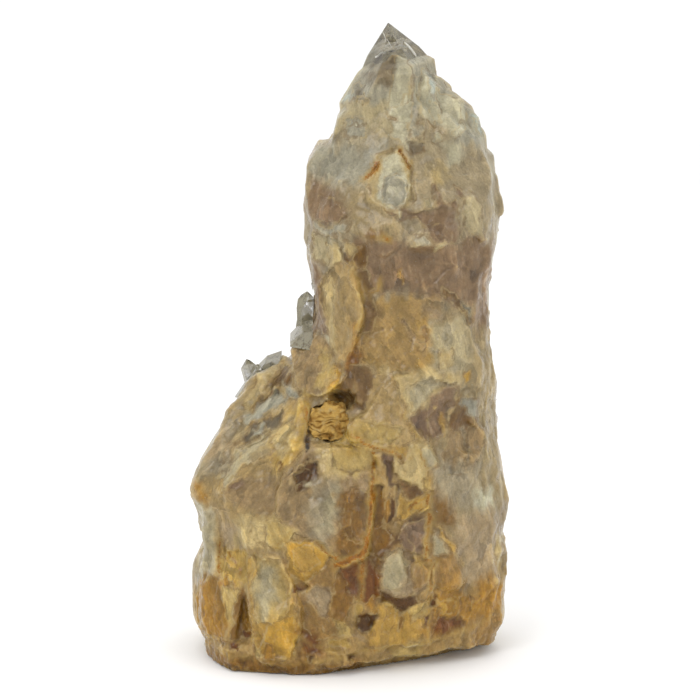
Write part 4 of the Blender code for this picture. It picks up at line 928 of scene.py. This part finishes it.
# Cream on the convex edges: partly iron stain, partly a painted highlight along them.
base = milky.mix(edges * milky.band(cloud, 0.35, 0.6) * 0.4, base, CREAM)
# Towards umber in the hollows of the broken front: partly iron stain, partly painted shade in the creases.
base = milky.mix(hollow_stain_and_shade * milky.attribute("broken") * 0.38, base, UMBER)
border = milky.attribute("border")
# Along the plates' borders: painted shade towards smoky beside each border, and a thin painted highlight towards
# cream on it, both in spots.
spots = milky.noise(3.0, 3.0)
painted_border_highlight = milky.band(border * border, 0.14, 0.0)
shaded = milky.band((border + 0.3) * (border + 0.3), 0.12, 0.0)
base = milky.mix(shaded * milky.band(spots, 0.52, 0.42) * 0.45, base, SMOKY)
base = milky.mix(painted_border_highlight * milky.band(spots, 0.46, 0.56) * 0.4, base, CREAM)
stain = milky.attribute("stain")
base = milky.mix(milky.band(stain + (wisps - 0.5) * 3.0, 1.8, -0.2) * 0.6, base, HONEY)
base = milky.mix(milky.band(stain + (wisps - 0.5) * 2.0, 0.5, -0.3) * 0.7, base, OCHRE)
base = milky.mix(milky.band(stain + (grain - 0.5) * 2.6 + (cloud - 0.5) * 1.8, 0.2, -0.35) * 0.95, base, RUST)
darkest = milky.band(stain + (grain - 0.5) * 1.6, 0.0, -0.4) * milky.band(spots, 0.46, 0.56)
base = milky.mix(darkest * 0.8, base, UMBER)
relief = streaks * 0.6 + wisps * 0.3 + grain * 0.1 + milky.band(border, -0.3, 0.3) * 0.7
milky.feed(milky.shader, {
    "Base Color": base,
    "Roughness": 0.22 + milky.band(wisps, 0.35, 0.65) * 0.25 + hollow_stain_and_shade * 0.2,
    "Coat Weight": 0.35,
    "Coat Roughness": 0.16,
    "Coat IOR": 1.5,
    "IOR": QUARTZ_IOR,
    "Specular IOR Level": 0.1,
    "Subsurface Weight": 1.0,
    "Subsurface Radius": (1.0, 0.97, 0.9),
    "Subsurface Scale": GLOW_DEPTH,
    "Alpha": milky.attribute("veil"),
    "Normal": milky.bump(relief, 0.6 - upper * 0.15, 0.35),
})
quartz.data.materials.append(milky.material)
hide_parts("quartz_cluster")
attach(quartz, "root")

# The clear crystal: the main point, whose top is glassy and a little smoky above the milky part, and the small ones
# that stand out on the left. They are the same growth as the rest, so each is cut from the solid's own form.
TUCK_HEIGHT = 4.0
TUCK = 0.1
SIDE_CUTS = (90.0, 107.0)
SHOULDER_CUTS = (-19.5, -5.0)


def cut_out(name, planes):
    """The part of the quartz on the inner side of each plane, given by a point in mm and the way out, and closed. Its
    faces are also split a little way in from the first plane, so that its foot can be drawn in."""
    maker = bmesh.new()
    maker.from_mesh(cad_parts["quartz_cluster"].data)
    bmesh.ops.remove_doubles(maker, verts=maker.verts, dist=WELD)
    everything = maker.verts[:] + maker.edges[:] + maker.faces[:]
    (point, outward), *_ = planes
    place = (Vector(point) - Vector(outward) * TUCK_HEIGHT) * MM
    bmesh.ops.bisect_plane(maker, geom=everything, plane_co=place, plane_no=outward)
    for point, outward in planes:
        everything = maker.verts[:] + maker.edges[:] + maker.faces[:]
        place = Vector(point) * MM
        cut = bmesh.ops.bisect_plane(maker, geom=everything, plane_co=place, plane_no=outward, clear_outer=True)
        rim = [edge for edge in cut["geom_cut"] if isinstance(edge, bmesh.types.BMEdge)]
        bmesh.ops.triangle_fill(maker, edges=rim, use_beauty=True)
    bmesh.ops.recalc_face_normals(maker, faces=maker.faces)
    bmesh.ops.triangulate(maker, faces=maker.faces)
    mesh = bpy.data.meshes.new(name)
    maker.to_mesh(mesh)
    maker.free()
    made = bpy.data.objects.new(name, mesh)
    bpy.context.scene.collection.objects.link(made)
    return made


SMOKE = (0.46, 0.38, 0.28, 1.0)


def glass(name, veiled, density):
    """Clear quartz with milky veils in it: how much of it they cover, and how smoky it is."""
    finish = Finish(name)
    finish.feed(finish.shader, {
        "Base Color": finish.mix(finish.band(finish.noise(2.5, 4.0), 0.4, 0.7), (1.0, 1.0, 1.0), (0.86, 0.84, 0.78)),
        "Roughness": 0.02 + finish.band(finish.noise(1.5, 3.0), 0.5, 0.7) * 0.12,
        "IOR": QUARTZ_IOR,
        "Transmission Weight": 1.0,
        "Normal": finish.bump(finish.noise(3.0, 2.0, stretch=(1, 1, 0.25)), 0.25, 0.2),
    })
    milk = finish.tree.nodes.new("ShaderNodeBsdfPrincipled")
    finish.feed(milk, {
        "Base Color": finish.mix(finish.noise(1.2, 4.0, 0.6), (*PALE_GREY,), (*FROST,)),
        "Roughness": 0.3,
        "IOR": QUARTZ_IOR,
    })
    veils = finish.band(finish.noise(2.6, 4.0, 0.6, (0.7, 0.7, 1.6), 1.2), 0.75 - veiled, 0.95 - veiled)
    mixed = finish.add("ShaderNodeMixShader", {}, {0: veils * 0.6})
    finish.tree.links.new(finish.shader.outputs[0], mixed.socket.node.inputs[1])
    finish.tree.links.new(milk.outputs[0], mixed.socket.node.inputs[2])
    smoke = finish.add("ShaderNodeVolumeAbsorption", {}, {"Color": SMOKE, "Density": density}, "Volume")
    output = finish.tree.nodes["Material Output"]
    finish.tree.links.new(mixed.socket, output.inputs["Surface"])
    finish.tree.links.new(smoke.socket, output.inputs["Volume"])
    return finish.material


smoky_glass = glass("smoky_clear_quartz", 0.25, 5.0)
pale_glass = glass("pale_clear_quartz", 0.45, 3.0)
CLEAR_PARTS = {
    "clear_point": ((tuple(TIP - AXIS * CLEAR_LENGTH), tuple(-AXIS)),),
    "clear_side_crystals": (
        ((SIDE_ROOT, 0, 0), (1, 0, 0)),
        ((0, 0, SIDE_CUTS[0]), (0, 0, -1)),
        ((0, 0, SIDE_CUTS[1]), (0, 0, 1)),
    ),
    "clear_shoulder_crystals": (
        ((0, SHOULDER_CUTS[1], 0), (0, -1, 0)),
        ((SHOULDER_CUTS[0], 0, 0), (1, 0, 0)),
        ((SHOULDER_ROOT[0], 0, SHOULDER_ROOT[1]), (SHOULDER_SLOPE, 0, -1)),
    ),
}
for name, planes in CLEAR_PARTS.items():
    clear = cut_out(name, planes)
    clear.data.materials.append(smoky_glass if name == "clear_point" else pale_glass)
    if name == "clear_point":
        spots = np.empty(len(clear.data.vertices) * 3)
        clear.data.vertices.foreach_get("co", spots)
        spots = spots.reshape(-1, 3) / MM
        below = (TIP - spots) @ AXIS
        centre = TIP - AXIS * below[:, None]
        tucked = 1 - TUCK * np.clip((below - CLEAR_LENGTH) / TUCK_HEIGHT + 1, 0, 1)
        clear.data.vertices.foreach_set("co", ((centre + (spots - centre) * tucked[:, None]) * MM).ravel())
    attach(clear, "root")

# The healed fractures in the clear point: flat films of tiny bubbles that the crystal grew shut over, and that look
# white where they catch the light. Each lies inside the glass, a little way behind its front.
FILM = 0.1
FILMS = (
    (0.35, (12.4, -2.4, 173.2), (16.2, -2.2, 173.6)),
    (0.5, (15.2, -1.6, 175.0), (18.6, -3.0, 171.0)),
    (0.45, (7.0, -3.4, 170.8), (10.2, -3.2, 171.8)),
    (0.15, (9.0, -0.2, 177.9), (11.8, -2.6, 173.0)),
    (0.3, (12.8, -2.8, 171.4), (14.6, -1.4, 174.9)),
)

maker = bmesh.new()
for width, start, end in FILMS:
    start, end = Vector(start) * MM, Vector(end) * MM
    along_it = end - start
    size = Vector((along_it.length / 2, FILM * MM / 2, width * MM))
    place = Matrix.LocRotScale((start + end) / 2, along_it.to_track_quat("X", "Z"), size)
    bmesh.ops.create_icosphere(maker, subdivisions=3, radius=1.0, matrix=place)
mesh = bpy.data.meshes.new("healed_fractures")
maker.to_mesh(mesh)
maker.free()
films = bpy.data.objects.new("healed_fractures", mesh)
bpy.context.scene.collection.objects.link(films)
bubbly = Finish("bubble_films")
bubbly.feed(bubbly.shader, {
    "Base Color": bubbly.mix(bubbly.noise(0.8, 3.0), FROST, (0.9, 0.9, 0.88)),
    "Roughness": 0.25 + bubbly.noise(0.5, 3.0) * 0.3,
    "Normal": bubbly.bump(bubbly.noise(0.4, 3.0), 0.4, 0.1),
})
films.data.materials.append(bubbly.material)
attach(films, "root")

# The lump of limonite in the pocket: earthy iron oxide, porous and wrinkled like a sponge, that settled there.
ORE_GRAIN = 0.29
ORE = colour(196, 160, 92)
DARK_ORE_AND_SHADE = colour(150, 112, 58)

points, corners = merged("limonite_lump")
points, corners = refined(points, corners, lambda middle: np.full(len(middle), ORE_GRAIN))
middle = (points.max(axis=0) + points.min(axis=0)) / 2
points = eased(points, corners, 3)
points = middle + (points - middle) * [1.14, 1.0, 1.14]
facing = normals_of(points, corners)
# It is layered: a groove runs along each edge of a wavy layer, pits lie between them, and one hollow is wider.
layer = points[:, 2] / 1.9 + 1.5 * cloudy(points, 3.4, 45) + 0.4 * cloudy(points, 1.3, 46)
grooves = 0.9 - 1.35 * np.abs(np.sin(np.pi * layer)) + 0.8 * cloudy(points, 1.5, 41)
pits = 1.7 * cloudy(points * [0.7, 1, 1.2], 1.5, 42) - 0.5
hollow = 1 - step(np.hypot((points[:, 0] + 6.6) / 2.3, (points[:, 2] - 67.2) / 1.05), 0.7, 1.15)
hollow *= step(facing[:, 1], 0.0, -0.3)
grooves = np.clip(np.maximum(grooves, pits), 0, 1) * (1 - hollow)
rise = 0.3 * cloudy(points, 0.8, 43) + 1.0 * cloudy(points, 3.2, 44) - 0.65 * grooves - 1.2 * hollow
points += facing * rise[:, None]
ore = piece("limonite_crust", points, corners, groove=np.maximum(grooves, 0.8 * hollow))
earthy = Finish("limonite")
# Darker in the grooves: partly the ore's own browner colour, partly painted shade.
raised = earthy.band(earthy.attribute("groove") + (earthy.noise(0.9, 3.0) - 0.5) * 1.2, 1.1, -0.1)
base = earthy.mix(raised, DARK_ORE_AND_SHADE, ORE)
base = earthy.mix(earthy.band(earthy.noise(0.5, 3.0), 0.45, 0.7) * 0.35, base, OCHRE)
base = earthy.mix(earthy.band(earthy.noise(2.6, 3.0), 0.5, 0.7) * 0.5, base, UMBER)
base = earthy.mix(raised * earthy.band(earthy.noise(1.6, 3.0), 0.5, 0.7) * 0.6, base, CREAM)
earthy.feed(earthy.shader, {
    "Base Color": base,
    "Roughness": 0.85 + earthy.noise(0.6) * 0.1,
    "Normal": earthy.bump(earthy.noise(0.35, 4.0, 0.65), 0.6, 0.3),
})
ore.data.materials.append(earthy.material)
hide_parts("limonite_lump")
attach(ore, "root")

# The stage: a white floor that curves up behind, lit by soft boxes, and the camera where the photographer stood.
AIM = (0.0, 0.0, 0.087)
AWAY = 0.9
RAISED = math.radians(10)
FRAME_WIDTH = 700 * 0.0002857
FLOOR_WIDTH = 6.8
FLOOR_FRONT = -3.0
FLOOR_LENGTH = 5.1
FLOOR_DROP = 0.0003
BEND_FROM = 1.2
BEND = 0.35
BEND_LENGTH = 0.55

u = np.linspace(0, 1, 60)
run = FLOOR_LENGTH * u + FLOOR_FRONT
turned = np.clip(run - BEND_FROM, 0, BEND_LENGTH) / BEND
depth = np.minimum(run, BEND_FROM) + BEND * np.sin(turned)
height = BEND * (1 - np.cos(turned)) + np.clip(run - BEND_FROM - BEND_LENGTH, 0, None)
across = np.linspace(-FLOOR_WIDTH / 2, FLOOR_WIDTH / 2, 5)
sheet = np.stack([
    np.tile(across, len(u)), np.repeat(depth, len(across)), np.repeat(height, len(across)) - FLOOR_DROP,
], axis=1) / MM
quads = np.arange(len(sheet)).reshape(len(u), len(across))
squares = np.stack([quads[:-1, :-1], quads[:-1, 1:], quads[1:, 1:], quads[1:, :-1]], axis=-1).reshape(-1, 4)
floor = piece("studio_floor", sheet, squares)
paper = Finish("paper")
paper.feed(paper.shader, {"Base Color": (0.93, 0.93, 0.93, 1.0), "Roughness": 0.9})
floor.data.materials.append(paper.material)


def soft_box(name, place, size, watts):
    """A rectangular lamp that faces the object."""
    light = bpy.data.lights.new(name, "AREA")
    light.shape = "RECTANGLE"
    light.size, light.size_y = size
    light.energy = watts
    made = bpy.data.objects.new(name, light)
    made.location = place
    made.rotation_euler = (Vector(AIM) - Vector(place)).to_track_quat("-Z", "Y").to_euler()
    bpy.context.scene.collection.objects.link(made)


soft_box("key", (-0.5, -1.0, 0.8), (0.6, 0.6), 5.5)
soft_box("fill", (0.9, -0.8, 0.4), (0.6, 0.6), 2.5)
soft_box("top", (0.0, 0.1, 1.2), (0.9, 0.9), 4.0)

world = bpy.data.worlds.new("studio")
world.use_nodes = True
world.node_tree.nodes["Background"].inputs["Color"].default_value = (1.0, 1.0, 1.0, 1.0)
world.node_tree.nodes["Background"].inputs["Strength"].default_value = 0.95
bpy.context.scene.world = world
bpy.context.scene.view_settings.view_transform = "Standard"

lens = bpy.data.cameras.new("camera")
lens.sensor_width = 36.0
lens.lens = lens.sensor_width * AWAY / FRAME_WIDTH
camera = bpy.data.objects.new("camera", lens)
camera.location = Vector(AIM) + AWAY * Vector((0.0, -math.cos(RAISED), math.sin(RAISED)))
camera.rotation_euler = (Vector(AIM) - camera.location).to_track_quat("-Z", "Y").to_euler()
lens.clip_start, lens.clip_end = 0.01, 20.0
bpy.context.scene.collection.objects.link(camera)
bpy.context.scene.camera = camera
